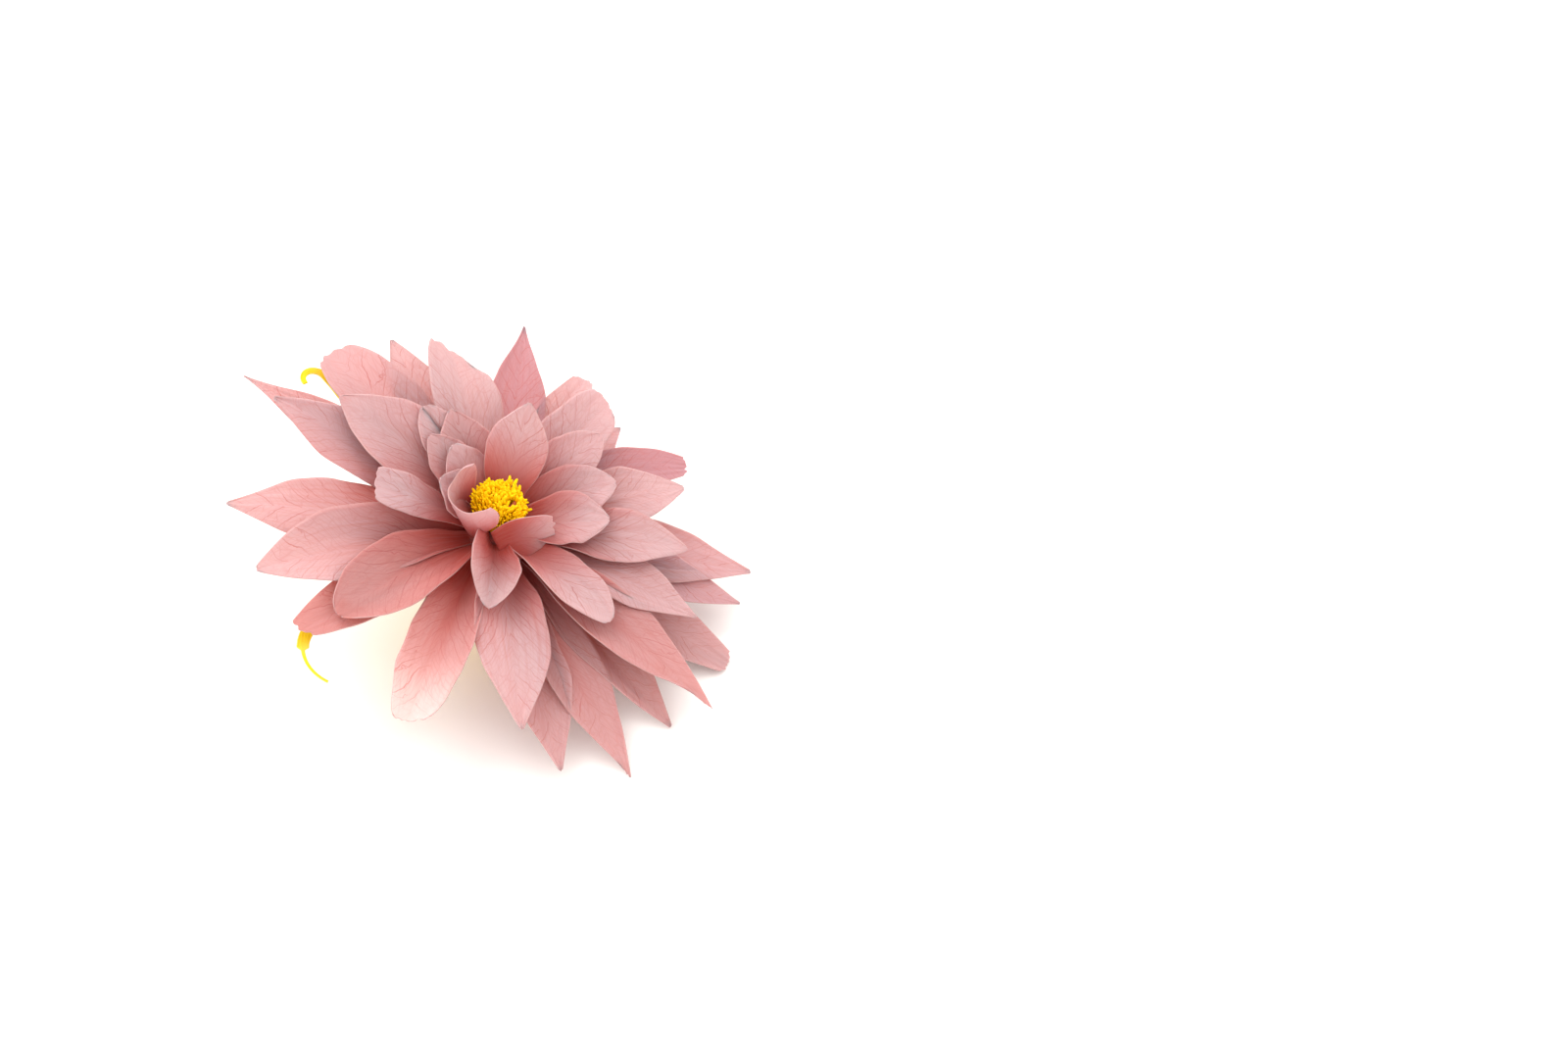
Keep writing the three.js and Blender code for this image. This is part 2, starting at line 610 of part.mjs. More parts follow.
// The whole flower, leaned and set down with the middle of its box over the origin
function makeFlower() {
  const flower = new THREE.Group();
  flower.add(named('petals', makePetals(), '#dfa09b', 0.75));
  flower.add(named('stamens', makeStamens(), '#eeb516', 0.8));
  flower.add(named('calyx', makeCalyx(), '#f0cd12', 0.8));
  flower.add(named('stem_tube', makeTube(), '#ece6d4', 0.45));
  const axis = unitAt(Math.PI / 2 - LEAN, LEAN_HEADING);
  flower.quaternion.setFromUnitVectors(new THREE.Vector3(0, 0, 1), axis);
  flower.updateMatrixWorld(true);
  const box = new THREE.Box3().setFromObject(flower, true);
  const middle = box.getCenter(new THREE.Vector3());
  flower.position.set(-middle.x, -middle.y, -box.min.z);
  return flower;
}

const group = new THREE.Group();
group.add(makeFlower());

export default group;
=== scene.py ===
"""Preserved dahlia head: fine petals, stamens, calyx and socket tube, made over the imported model."""

from collections import namedtuple
from math import cos, pi, radians, sin, sqrt

import bmesh
import bpy
from bpy.props import FloatProperty, FloatVectorProperty, IntProperty, PointerProperty
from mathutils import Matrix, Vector, noise


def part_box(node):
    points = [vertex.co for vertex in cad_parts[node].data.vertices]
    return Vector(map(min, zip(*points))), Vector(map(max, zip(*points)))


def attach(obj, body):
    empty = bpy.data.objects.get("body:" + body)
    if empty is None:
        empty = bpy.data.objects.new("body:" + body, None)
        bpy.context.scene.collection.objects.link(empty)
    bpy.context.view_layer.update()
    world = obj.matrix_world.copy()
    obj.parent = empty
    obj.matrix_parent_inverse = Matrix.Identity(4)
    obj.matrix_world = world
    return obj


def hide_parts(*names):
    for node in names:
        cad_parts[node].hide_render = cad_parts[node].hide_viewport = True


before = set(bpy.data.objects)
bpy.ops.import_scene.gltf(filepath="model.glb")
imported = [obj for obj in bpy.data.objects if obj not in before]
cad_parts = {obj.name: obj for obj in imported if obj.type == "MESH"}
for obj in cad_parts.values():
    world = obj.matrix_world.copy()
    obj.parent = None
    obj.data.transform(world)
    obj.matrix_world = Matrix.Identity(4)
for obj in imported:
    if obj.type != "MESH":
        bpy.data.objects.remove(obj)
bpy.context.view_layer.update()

bl_info = {
    "name": "Preserved dahlia head",
    "version": (1, 0, 0),
    "blender": (4, 5, 0),
    "location": "3D View > Sidebar > Dahlia",
    "description": "Makes the petals, stamens, calyx and socket tube of a preserved dahlia head",
    "category": "Object",
}

MM = 0.001

# How the flower lies: its axis leans to the right and towards the viewer
LEAN = radians(16)
LEAN_HEADING = radians(-25)

# Socket tube, in the flower's own frame in millimetres: the hub is the origin and the axis is +Z
TUBE_OUTER_RADIUS = 3.0
TUBE_INNER_RADIUS = 2.35
TUBE_TOP = -5.6
TUBE_LENGTH = 9.85
TUBE_EDGE = 0.15
TUBE_RINGS = 12
TUBE_STEPS = 72

# Calyx
BOWL_RADIUS = 5.5
BOWL_DEPTH = 5.3
BOWL_STEPS = 96
STALK_RADIUS = 2.0
STALK_LENGTH = 5.6
STALK_STEPS = 48
SEPAL_ROWS = 72
SEPAL_COLUMNS = 16
SEPAL_ROOT_HEIGHT = -1.3
SEPAL_ROOT_RADIUS = 3.2
SEPAL_WIDEST = 0.24
SEPAL_ROOT_WIDTH = 0.55
SEPAL_ARCH = 14
SEPAL_ROOT_ARCH = 20
TAIL_TAPERS_FROM = 0.75
TAIL_TAPER = 0.55
LOBE_LENGTH = 8
LOBE_WIDTH = 1.3
LOBE_ANGLE = radians(24)
LOBE_DROP = radians(6)
LOBE_BEND = radians(30)
LOBE_ROWS = 20
LOBE_COLUMNS = 4

# What the sepals' material reads all over the bowl: the seed, and a place that is away from the margins
BOWL_SEED = 0.77
BOWL_SHARE = (0.2, 0.3)

# Share of a sepal's length where each of its lobes leaves, and the side it leaves to
LOBE_PLACES = [(0.5, 1), (0.383, -1)]

# Petals
PETAL_ROOT_RADIUS = 3
RING_HEIGHTS = [1.0, 1.6, 2.3, 3.2, 4.2, 5.2]
PETAL_ROOT_WIDTH = 0.28
PETAL_TIP_FROM = 0.6
SEED = 20

# How petals longer and shorter than LONG_PETAL are made: rows and columns of the grid, height of the
# lengthwise waves in millimetres and how much the root is bent into a channel, in degrees
LONG_PETAL = 30
Form = namedtuple("Form", "rows columns wave channel")
LONG_FORM = Form(rows=54, columns=24, wave=0.9, channel=52)
SHORT_FORM = Form(rows=40, columns=20, wave=0.5, channel=34)

# Core that the petals are glued round, as pairs of radius and height
CORE_PROFILE = [(0, 0.3), (6.1, 0.3), (5.7, 2.2), (5.0, 4.6), (4.5, 6.1), (0, 6.3)]
CORE_STEPS = 48

# Stamens
STAMEN_SPREAD = 5.6
STAMEN_TOP = 13.3
STAMEN_SHIFT = -0.5
STAMEN_THICKNESS = 0.17
STAMEN_UNEVEN = 1.5
STAMEN_DOME = 1.2
STAMEN_FRONT_DROP = 2.0
STAMEN_SCATTER = 0.5
STAMEN_RINGS = (0.3, 0.55, 0.68, 0.76, 0.86, 0.94)
TALL_SHARE = 0.03
TALL_BY = 1.0
STAMEN_VALUES = ("tone", "height")
ANTHER_MIDDLE = 0.87
ANTHER_REACH = 0.16
SEAT_RADIUS = 3.7
SEAT_BOTTOM = 6.6
SEAT_TOP = 9.0
SEAT_STEPS = 60
PISTIL_OFFSET = 2.6
PISTIL_RADIUS = 1.25
PISTIL_COUNT = 9
PISTIL_TURN = 2.4
PISTIL_THICKNESS = 0.2

# Outline of a petal past its widest place: where that is, how broad the tip stays, how full the curve is
Tip = namedtuple("Tip", "widest end fullness")
TIPS = {
    "sharp": Tip(0.47, 0.04, 1.22),
    "plain": Tip(0.58, 0.05, 0.95),
    "oval": Tip(0.6, 0.08, 0.72),
    "round": Tip(0.62, 0.2, 0.55),
    "cut": Tip(0.6, 0.42, 0.9),
    "broad": Tip(0.62, 0.5, 0.6),
    "flared": Tip(0.88, 0.82, 0.6),
}

# Petals from the photo, ring by ring from the calyx up: heading from the right and lift above the
# flower's plane in degrees, length and width in millimetres, tip, and how much the lift falls and the
# heading turns from root to tip. Left and right curl that edge up or down in millimetres, fold sharpens
# the crease along the middle, slant cuts the tip obliquely, tone runs from mauve at -1 to coral at 1, and
# pale fades the tip.
# Pale above 1 also paints the tip near white: painted light of a thin tip lit through over the bright floor
Petal = namedtuple(
    "Petal",
    "heading lift length width tip droop sweep left right fold slant tone pale",
    defaults=(0.0,) * 6,
)
PETAL_RINGS = [
    [
        Petal(-173, 14, 49, 14, "plain", 16, 0, left=-3, pale=0.35),
        Petal(156, 16, 54, 12, "sharp", 14, 1, left=-2, tone=0.2),
        Petal(120, 10, 45, 13, "plain", 8, 0, pale=0.6),
        Petal(85, 12, 47.5, 13, "sharp", 10, 5, fold=0.08, tone=-0.8),
        Petal(69, 12, 40, 10, "cut", 10, 0, fold=0.12, pale=0.4),
        Petal(50, 12, 43, 11.5, "cut", 20, -36, slant=-0.5, tone=-0.9),
        Petal(1, 10, 48.5, 14, "plain", 16, 0, right=-1, tone=-0.3),
        Petal(-22, 4.5, 49, 13, "cut", 14, 0, tone=0.3),
        Petal(-45, 4, 49, 11, "plain", 14, 3, left=1.5, fold=0.1, tone=0.4, pale=0.4),
        Petal(-71, 4, 49.5, 12.5, "plain", 14, 0, tone=0.2),
        Petal(-108, 12, 47.5, 12.5, "broad", 14, 7, left=1.2, fold=0.12, slant=1, tone=0.7, pale=1.6),
        Petal(-137, 14, 44, 12, "cut", 18, 0, slant=1, tone=0.7),
    ],
    [
        Petal(135, 12, 46.5, 16, "broad", 10, 2, right=1, tone=-0.1),
        Petal(54, 3, 38, 11, "plain", 8, 0),
        Petal(-8, 8, 47, 12, "plain", 14, 0, tone=-0.5),
        Petal(-60, 4.2, 53, 12, "plain", 16, 4, slant=-1.5, tone=0.4),
        Petal(-155, 16, 46.5, 15, "oval", 18, 2, left=-1.4, right=2.5, fold=0.1, pale=0.4),
    ],
    [
        Petal(159, 20, 46.5, 14, "plain", 18, 1, left=-2.5, tone=-0.3),
        Petal(108, 22, 36.5, 14, "broad", 14, 2, slant=-4, pale=0.8),
        Petal(58, 25, 34.5, 13, "broad", 20, 0, slant=-1.5, pale=0.3),
        Petal(20, 23, 36.3, 13.5, "oval", 23, 2, pale=0.3),
        Petal(-22, 20, 40.5, 12, "plain", 24, 0, tone=0.1),
        Petal(-40, 16, 51, 13, "plain", 24, 2, slant=-3, tone=0.55),
        Petal(-81, 16, 44.5, 14.5, "plain", 24, 2, tone=-0.2, pale=0.8),
        Petal(-136, 20, 38, 15.5, "round", 24, 3, left=0.8, tone=0.75),
    ],
    [
        Petal(150, 28, 36.5, 17, "oval", 24, 2, tone=0.1),
        Petal(131, 34, 25, 11, "round", 20, 0),
        Petal(-5, 26, 35, 11.5, "oval", 26, 2, left=1, right=-1, pale=0.3),
        Petal(-45.5, 28, 30, 11, "round", 28, 2, right=2.2, pale=0.4),
        Petal(-176, 37, 24, 9.2, "flared", 24, 0, left=-1, tone=-0.3, pale=1),
    ],
    [
        Petal(141, 40, 19, 10, "round", 20, 0, tone=0.3),
        Petal(121, 36, 22, 12, "oval", 20, 0, tone=0.4),
        Petal(82, 56, 23, 12, "oval", 20, 0, pale=0.5),
        Petal(47, 34, 25.5, 10.5, "round", 22, 0, left=1.5, right=-2),
        Petal(24, 35, 22.5, 11.5, "round", 24, 0, left=1.4, right=-1.2),
        Petal(-1, 37, 20, 12, "round", 22, 0, left=1.2, right=-0.6),
        Petal(-91, 26, 20.5, 10, "round", 26, 0, right=4, fold=0.45, pale=0.5),
    ],
    [
        Petal(136, 46, 15, 10, "round", 16, 0),
        Petal(172, 50, 13, 11, "round", 16, 0),
    ],
]

# The two innermost petals: a deep cup on the left of the stamens and a small trough that runs past
# their front
Cup = namedtuple("Cup", "place heading lift length width cup droop radius height twist root slant form")
INNER_CUPS = [
    Cup(-155, -160, 60, 12.4, 22.5, 90, -6, 5.6, 4.7, 4, root=0.3, slant=-2, form=Tip(0.9, 0.9, 0.8)),
    Cup(-86, 24, 26, 11.5, 8.5, 15, 14, 6.9, 7.4, 66, root=0.8, slant=0, form=Tip(0.35, 0.55, 0.8)),
]
CUP_ROWS = 36
CUP_COLUMNS = 40

# Share of a cup's twist that its root has already, and the number that sets the first cup's noise
ROOT_TWIST = 0.8
FIRST_CUP_NUMBER = 41

# Sepals: long pointed leaves whose tails hook sideways. Body is the share of the length where the blade
# has narrowed to its tail, which is as wide as tail says. Up to the share torn, a torn stub of the blade
# goes on, as wide as stub says. Lobes are thin side shoots.
Sepal = namedtuple(
    "Sepal", "heading lift length width droop hook hook_from tail body torn stub lobes",
    defaults=(1.5, 0.82, 0, 0, 0),
)
SEPALS = [
    Sepal(140.5, 8.5, 51.5, 11, 0, 170, 0.85, tail=2.2),
    Sepal(160, 7, 25, 11, 8, 30, 0.7),
    Sepal(-139, 8, 54.5, 9, 9, 120, 0.69, tail=0.9, body=0.75, torn=0.84, stub=2.4),
    Sepal(-103, 6, 30, 9, 6, -60, 0.75, tail=1.2),
    Sepal(-36, -5, 36, 12, -2, 50, 0.75, tail=1.7, lobes=1),
    Sepal(44, -9, 40, 12, 8, -70, 0.7, tail=1.7, lobes=2),
]

# The camera stands in front of the hub and looks down at half a right angle
CAMERA_FROM_HUB = Vector((0.05695, -0.4745, 0.4801))
CAMERA_TILT = radians(45)
SENSOR_WIDTH = 36

# Floor, sun and the light from all round
FLOOR_HALF_SIDE = 2.0
KEY_SPREAD = radians(50)
KEY_TURN = (radians(-28), radians(-30), 0)
FILL_COLOUR = (1.0, 0.94, 0.915, 1)


def tint(code):
    """Linear colour from an sRGB hex code."""
    channels = [int(code[at:at + 2], 16) / 255 for at in (1, 3, 5)]
    return tuple(((c + 0.055) / 1.055) ** 2.4 if c > 0.04045 else c / 12.92 for c in channels)


def colour(name, description, code):
    return FloatVectorProperty(
        name=name, description=description, default=tint(code), subtype="COLOR", size=3, min=0, max=1
    )


def length(name, description, millimetres):
    return FloatProperty(name=name, description=description, default=millimetres * MM, min=0, unit="LENGTH")


class PetalSettings(bpy.types.PropertyGroup):
    thickness: length("Thickness", "Thickness of a petal", 0.18)
    vein_spacing: length("Vein spacing", "Distance between the side veins along the midrib", 5.0)
    body: colour("Body", "Middle of a petal's upper side", "#b38f91")
    # The root colour is partly the petals' own deep coral and partly painted shade where their roots
    # overlap
    root: colour("Root", "Deep colour towards a petal's root", "#a23a30")
    tip: colour("Tip", "Faded colour towards a petal's tip", "#b89ea0")
    # Painted light: the near-white tip stands for a thin tip lit through and washed out over the bright
    # floor
    backlit_white: colour("Bleached", "Nearly white tip of a petal that has lost its colour", "#ead2cf")
    mauve: colour("Mauve", "Cooler tone of some petals", "#a27c83")
    # In the folds, coral is painted shade
    coral: colour("Coral", "Warmer tone of some petals and of the folds", "#a9665f")
    back: colour("Back", "Underside of a petal", "#b4868a")
    vein: colour("Vein", "Veins", "#9a4d4b")
    rim: colour("Rim", "Cut edge of a petal", "#bb9492")


class StamenSettings(bpy.types.PropertyGroup):
    count: IntProperty(
        name="Count", description="Places for stamens; those in the hole stay empty", default=480, min=1
    )
    foot: colour("Foot", "Lower end of a stamen", "#f0ae00")
    tip: colour("Tip", "Upper end of a stamen", "#ffcf00")
    pistil: colour("Pistil", "Pistils in the small hole", "#c4694a")


class CalyxSettings(bpy.types.PropertyGroup):
    thickness: length("Thickness", "Thickness of a sepal", 0.34)
    body: colour("Body", "Dyed yellow of a sepal", "#ecc90c")
    streak: colour("Streak", "Fibres and wrinkles, darker", "#cfa005")
    edge: colour("Edge", "Pale torn edges", "#f2df84")
    stalk: colour("Stalk", "Rind of the cut stalk", "#8d7440")
    pith: colour("Pith", "Middle of the cut stalk", "#b9a888")


class TubeSettings(bpy.types.PropertyGroup):
    wall: colour("Wall", "Milky plastic of the tube", "#e6dfce")
    shade: colour("Shade", "Yellowed patches of the tube", "#dccfae")


class StageSettings(bpy.types.PropertyGroup):
    floor: colour("Floor", "Colour of the floor", "#f8f7f5")
    key: FloatProperty(name="Key light", description="Strength of the soft key light", default=1.58, min=0)
    fill: FloatProperty(name="Fill light", description="Light from all round", default=1.55, min=0)
    focal_length: FloatProperty(
        name="Focal length", description="Lens of the camera", default=80, min=1, unit="CAMERA"
    )


class Wire:
    """A shader socket that takes part in arithmetic: an expression on it adds its Math nodes."""

    def __init__(self, tree, socket=None):
        self.tree = tree
        self.socket = socket

    def node(self, kind, settings=None, sockets=None, output=0):
        """Any node: its settings are set first, then its sockets get their values or links."""
        made = self.tree.nodes.new("ShaderNode" + kind)
        for name, value in (settings or {}).items():
            setattr(made, name, value)
        for name, value in (sockets or {}).items():
            if isinstance(value, Wire):
                self.tree.links.new(value.socket, made.inputs[name])
            else:
                made.inputs[name].default_value = value
        return Wire(self.tree, made.outputs[output])

    def maths(self, operation, *values):
        return self.node("Math", {"operation": operation}, dict(enumerate(values)))

    def __add__(self, other):
        return self.maths("ADD", self, other)

    def __sub__(self, other):
        return self.maths("SUBTRACT", self, other)

    def __rsub__(self, other):
        return self.maths("SUBTRACT", other, self)

    def __mul__(self, other):
        return self.maths("MULTIPLY", self, other)

    def __truediv__(self, other):
        return self.maths("DIVIDE", self, other)

    def __pow__(self, other):
        return self.maths("POWER", self, other)

    def __abs__(self):
        return self.maths("ABSOLUTE", self)

    __radd__ = __add__
    __rmul__ = __mul__

    def within(self, low, high):
        """0 at low and 1 at high, with a soft start and end."""
        return self.node(
            "MapRange", {"interpolation_type": "SMOOTHSTEP"}, {0: self, 1: low, 2: high, 3: 0.0, 4: 1.0}
        )

    def blend(self, first, second):
        """A colour from first to second as this value goes from 0 to 1."""
        sides = {6: first if isinstance(first, Wire) else (*first, 1)}
        sides[7] = second if isinstance(second, Wire) else (*second, 1)
        return self.node("Mix", {"data_type": "RGBA", "clamp_factor": True}, {0: self, **sides}, output=2)

    def split(self):
        """The three parts of a vector."""
        return [self.node("SeparateXYZ", sockets={0: self}, output=part) for part in range(3)]

    def joined(self, x, y, z):
        return self.node("CombineXYZ", sockets={0: x, 1: y, 2: z})

    def uneven(self, place, scale, detail=2.0):
        """Noise from 0 to 1 at a place, with scale patches in each unit."""
        return self.node("TexNoise", sockets={"Vector": place, "Scale": scale, "Detail": detail})

    def attribute(self, name):
        return self.node("Attribute", {"attribute_name": name}, output=2)

    def map(self, name):
        return self.node("UVMap", {"uv_map": name})


def new_material(name):
    """An empty material, the wire that starts its expressions and its Principled shader."""
    material = bpy.data.materials.new(name)
    material.use_nodes = True
    shader = material.node_tree.nodes["Principled BSDF"]
    return material, Wire(material.node_tree), shader


def finish_material(wire, shader, base, roughness, height, depth):
    """Links the colour, the roughness and the relief, whose full height is depth in millimetres."""
    links = wire.tree.links
    links.new(base.socket, shader.inputs["Base Color"])
    links.new(roughness.socket, shader.inputs["Roughness"])
    bump = wire.node("Bump", sockets={"Height": height, "Distance": depth * MM})
    links.new(bump.socket, shader.inputs["Normal"])


def veins_of(wire, spacing):
    """Veins of a petal from 0 to 1: forked side veins that run forwards, finer ones between and a net.

    Lead is where on the midrib the slanted line through a point starts, so a vein keeps its lead.
    """
    across, along, _ = wire.map("size").split()
    seed = wire.attribute("seed")
    share = wire.map("share").split()[1]
    place = wire.joined(across, along, seed * 90)
    drift = wire.uneven(place, 0.09, 1.0) - 0.5
    wobble = wire.uneven(place, 0.55, 2.0) - 0.5
    slope = 1.5 + (1 - share) ** 2 * 4
    lead = along - abs(across + drift * 1.5) * slope + drift * 7 + wobble * 1.6
    lead = lead + wire.maths("GREATER_THAN", across, 0) * (spacing * 0.45)

    def lines(shifted, gap, width):
        return 1 - (wire.maths("PINGPONG", shifted, gap / 2) / slope).within(0.0, width)

    strong = lines(lead, spacing, 0.15)
    forked = lines(lead + abs(across) * 0.9 + wobble * 2, spacing, 0.11) * abs(across).within(0.8, 2.6)
    fine = lines(lead - wobble * 2.5, spacing / 3.3, 0.09)
    cell = wire.joined(across * 0.7, lead * 0.22, seed * 60)
    edge = wire.node("TexVoronoi", {"feature": "DISTANCE_TO_EDGE"}, {"Vector": cell, "Scale": 1.0})
    net = 1 - edge.within(0.0, 0.08)
    patchy = wire.uneven(wire.joined(across, along * 0.5, seed * 40 + 7), 0.16, 2.0).within(0.34, 0.66)
    fading = share.within(0.1, 0.35) * (1 - share.within(0.85, 1.0) * 0.6)
    side = wire.maths("MAXIMUM", strong * (0.35 + 0.65 * patchy), forked * patchy * 0.8)
    return wire.maths("MAXIMUM", side, wire.maths("MAXIMUM", fine * 0.3, net * 0.25)) * fading


def petal_material(settings, name, is_back):
    """Matt petal: deep coral root that is partly painted shade, faded tip that is painted light where near
    white, fine lengthwise ribs with painted shade in their folds, faint veins and a pale margin.
    """
    material, wire, shader = new_material(name)
    across, along, _ = wire.map("size").split()
    place, share, _ = wire.map("share").split()
    seed = wire.attribute("seed")
    tone = wire.attribute("tone")
    pale = wire.attribute("pale")
    veins = veins_of(wire, settings.vein_spacing / MM)
    cloud = wire.uneven(wire.joined(across, along, seed * 30), 0.09, 3.0)
    ribs = wire.uneven(wire.joined(place * 9, share * 1.6, seed * 70), 1.6, 3.0)
    grain = wire.uneven(wire.joined(across, along, seed * 10), 1.7, 3.0)
    depth = share * 0.55 + along / 75
    # Painted shade with the real deep colour: darker coral towards the root, where the petals overlap and
    # shade each other
    root_dye_and_shade = 1 - (depth + (cloud - 0.5) * 0.25 - abs(place) * 0.1).within(0.06, 0.68)
    faded = (share + (cloud - 0.5) * 0.5 + pale * 0.25).within(0.5, 1.05)
    body = settings.back if is_back else settings.body
    base = (faded * (0.55 + pale * 0.45)).blend(body, settings.tip)
    base = (tone * -1).within(0.0, 1.0).blend(base, settings.mauve)
    base = (tone.within(0.0, 1.0) * 0.7 + cloud.within(0.55, 0.8) * 0.2).blend(base, settings.coral)
    # Painted light: with pale above 1 the tip is washed towards near white, as if lit through over the
    # bright floor
    base = (share.within(0.6, 1.0) * (pale - 1)).blend(base, settings.backlit_white)
    base = (root_dye_and_shade * (0.7 if is_back else 0.95)).blend(base, settings.root)
    streak = 1 - (abs(place) + (cloud - 0.5) * 0.4).within(0.0, 0.45)
    streak = streak * (1 - share.within(0.3, 0.85)) * tone.within(0.0, 0.6)
    base = (streak * 0.5).blend(base, settings.root)
    # Coral bands along the ribs near the root: partly the petal's striations, partly painted shade in its
    # lengthwise folds
    base = (ribs.within(0.4, 0.75) * (1 - share.within(0.3, 1.0) * 0.8) * 0.45).blend(base, settings.coral)
    base = (veins * (0.45 if is_back else 0.65)).blend(base, settings.vein)
    margin = abs(place).within(0.94, 1.0) * share.within(0.1, 0.3)
    base = (margin * 0.25).blend(base, settings.rim)
    relief = (veins if is_back else 1 - veins) * 0.3 + ribs * (1 - share * 0.6) * 0.5 + grain * 0.2
    finish_material(wire, shader, base, 0.62 + grain * 0.2, relief, 0.13)
    shader.inputs["Specular IOR Level"].default_value = 0.25
    shader.inputs["Subsurface Weight"].default_value = 0.7
    shader.inputs["Subsurface Radius"].default_value = (1.0, 0.66, 0.6)
    shader.inputs["Subsurface Scale"].default_value = 1.0 * MM
    return material


def rim_material(settings):
    """Cut edge of a petal, paler than its faces."""
    material, wire, shader = new_material("petal_rim")
    across, along, _ = wire.map("size").split()
    cloud = wire.uneven(wire.joined(across, along, wire.attribute("seed") * 30), 0.6)
    share = wire.map("share").split()[1]
    base = share.within(0.1, 0.5).blend(settings.coral, settings.rim)
    base = (cloud * 0.3).blend(base, settings.body)
    finish_material(wire, shader, base, 0.7 + cloud * 0.1, cloud, 0.03)
    return material


def petal_materials(settings):
    """The three finishes of a petal, made once: upper side, underside and cut edge."""
    if "petal_face" not in bpy.data.materials:
        petal_material(settings, "petal_face", False)
        petal_material(settings, "petal_back", True)
        rim_material(settings)
    return [bpy.data.materials[name] for name in ("petal_face", "petal_back", "petal_rim")]


def unit_at(lift, heading):
    """Direction of length one with a lift and a heading in radians."""
    return Vector((cos(lift) * cos(heading), cos(lift) * sin(heading), sin(lift)))


# The flower's lean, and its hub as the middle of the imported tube's box places it
turn = Vector((0, 0, 1)).rotation_difference(unit_at(pi / 2 - LEAN, LEAN_HEADING))
tube_low, tube_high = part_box("stem_tube")
hub = (tube_low + tube_high) / 2 - turn @ Vector((0, 0, TUBE_TOP - TUBE_LENGTH / 2)) * MM


def placed(point):
    """Where a point of the flower's own frame, in millimetres, is in the scene."""
    return hub + (turn @ point) * MM


def make_random(seed):
    """Small seeded generator, the same draw on every run."""
    state = seed

    def draw():
        nonlocal state
        state = (state * 1664525 + 1013904223) % 4294967296
        return state / 4294967296

    return draw


Station = namedtuple("Station", "share point along across up")


def midrib(root, lift_at, heading_at, size, shares):
    """Points along a blade's middle, each with the directions it runs in, across it and up."""
    stations = []
    point = root.copy()
    for here, after in zip(shares, [*shares[1:], shares[-1]]):
        heading = heading_at(here)
        along = unit_at(lift_at(here), heading)
        across = Vector((-sin(heading), cos(heading), 0))
        stations.append(Station(here, point.copy(), along, across, along.cross(across)))
        for part in (0.25, 0.75):
            middle = here + part * (after - here)
            point += unit_at(lift_at(middle), heading_at(middle)) * (size * (after - here) / 2)
    return stations


def add_blade(bm, stations, columns, size, half_width_at, shape_at, tone, pale, seed):
    """One thin sheet on its stations: a grid whose points go where shape_at puts them, with its maps."""
    rows = len(stations) - 1
    share_map = bm.loops.layers.uv["share"]
    size_map = bm.loops.layers.uv["size"]
    values = {"tone": tone, "pale": pale, "seed": seed}
    made = bmesh.ops.create_grid(bm, x_segments=rows, y_segments=columns, size=0.5)["verts"]
    places = {}
    for vert in made:
        station = stations[round((vert.co.x + 0.5) * rows)]
        v = 2 * vert.co.y
        places[vert] = (station.share, v)
        side, height, back = shape_at(station.share, v)
        point = station.point + station.across * side + station.up * height - station.along * back
        vert.co = placed(point)
        for name, value in values.items():
            vert[bm.verts.layers.float[name]] = value
    for face in {face for vert in made for face in vert.link_faces}:
        face.smooth = True
        for loop in face.loops:
            u, v = places[loop.vert]
            loop[share_map].uv = (v, u)
            loop[size_map].uv = (v * half_width_at(u), u * size)


def new_bmesh(values=("tone", "pale", "seed")):
    """An empty mesh with the maps and the values of each point that the materials read."""
    bm = bmesh.new()
    for name in ("share", "size"):
        bm.loops.layers.uv.new(name)
    for name in values:
        bm.verts.layers.float.new(name)
    return bm


def finish_piece(bm, name, materials, node, thickness=0.0):
    """The finished object of a mesh: it rides on the root and stands for its node."""
    mesh = bpy.data.meshes.new(name)
    bm.to_mesh(mesh)
    bm.free()
    piece = bpy.data.objects.new(name, mesh)
    bpy.context.scene.collection.objects.link(piece)
    for material in materials:
        mesh.materials.append(material)
    if thickness:
        wall = piece.modifiers.new("Thickness", "SOLIDIFY")
        wall.thickness = thickness
        wall.offset = 0
        wall.material_offset = min(1, len(materials) - 1)
        wall.material_offset_rim = min(2, len(materials) - 1)
    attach(piece, "root")
    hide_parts(node)


def petal_width_at(u, root_width, tip):
    """Share of a petal's full width at u, 0 at the root and 1 at the tip."""
    if u < tip.widest:
        return root_width + (1 - root_width) * sin(pi / 2 * u / tip.widest) ** 1.3
    past = (u - tip.widest) / (1 - tip.widest)
    return tip.end + (1 - tip.end) * max(cos(pi / 2 * past), 0) ** tip.fullness


def clamped(value):
    return min(max(value, 0), 1)


def arc_at(half_width, v, half_angle):
    """Place on a cross section that is bent into an arc of the half angle given."""
    if abs(half_angle) < 1e-3:
        return half_width * v, 0.0
    radius, angle = half_width / half_angle, v * half_angle
    return radius * sin(angle), radius * (1 - cos(angle))


def toward_tip(count, crowding=1.5):
    """Shares of a blade's length from root to tip, closer together at the tip."""
    return [1 - (1 - step / count) ** crowding for step in range(count + 1)]


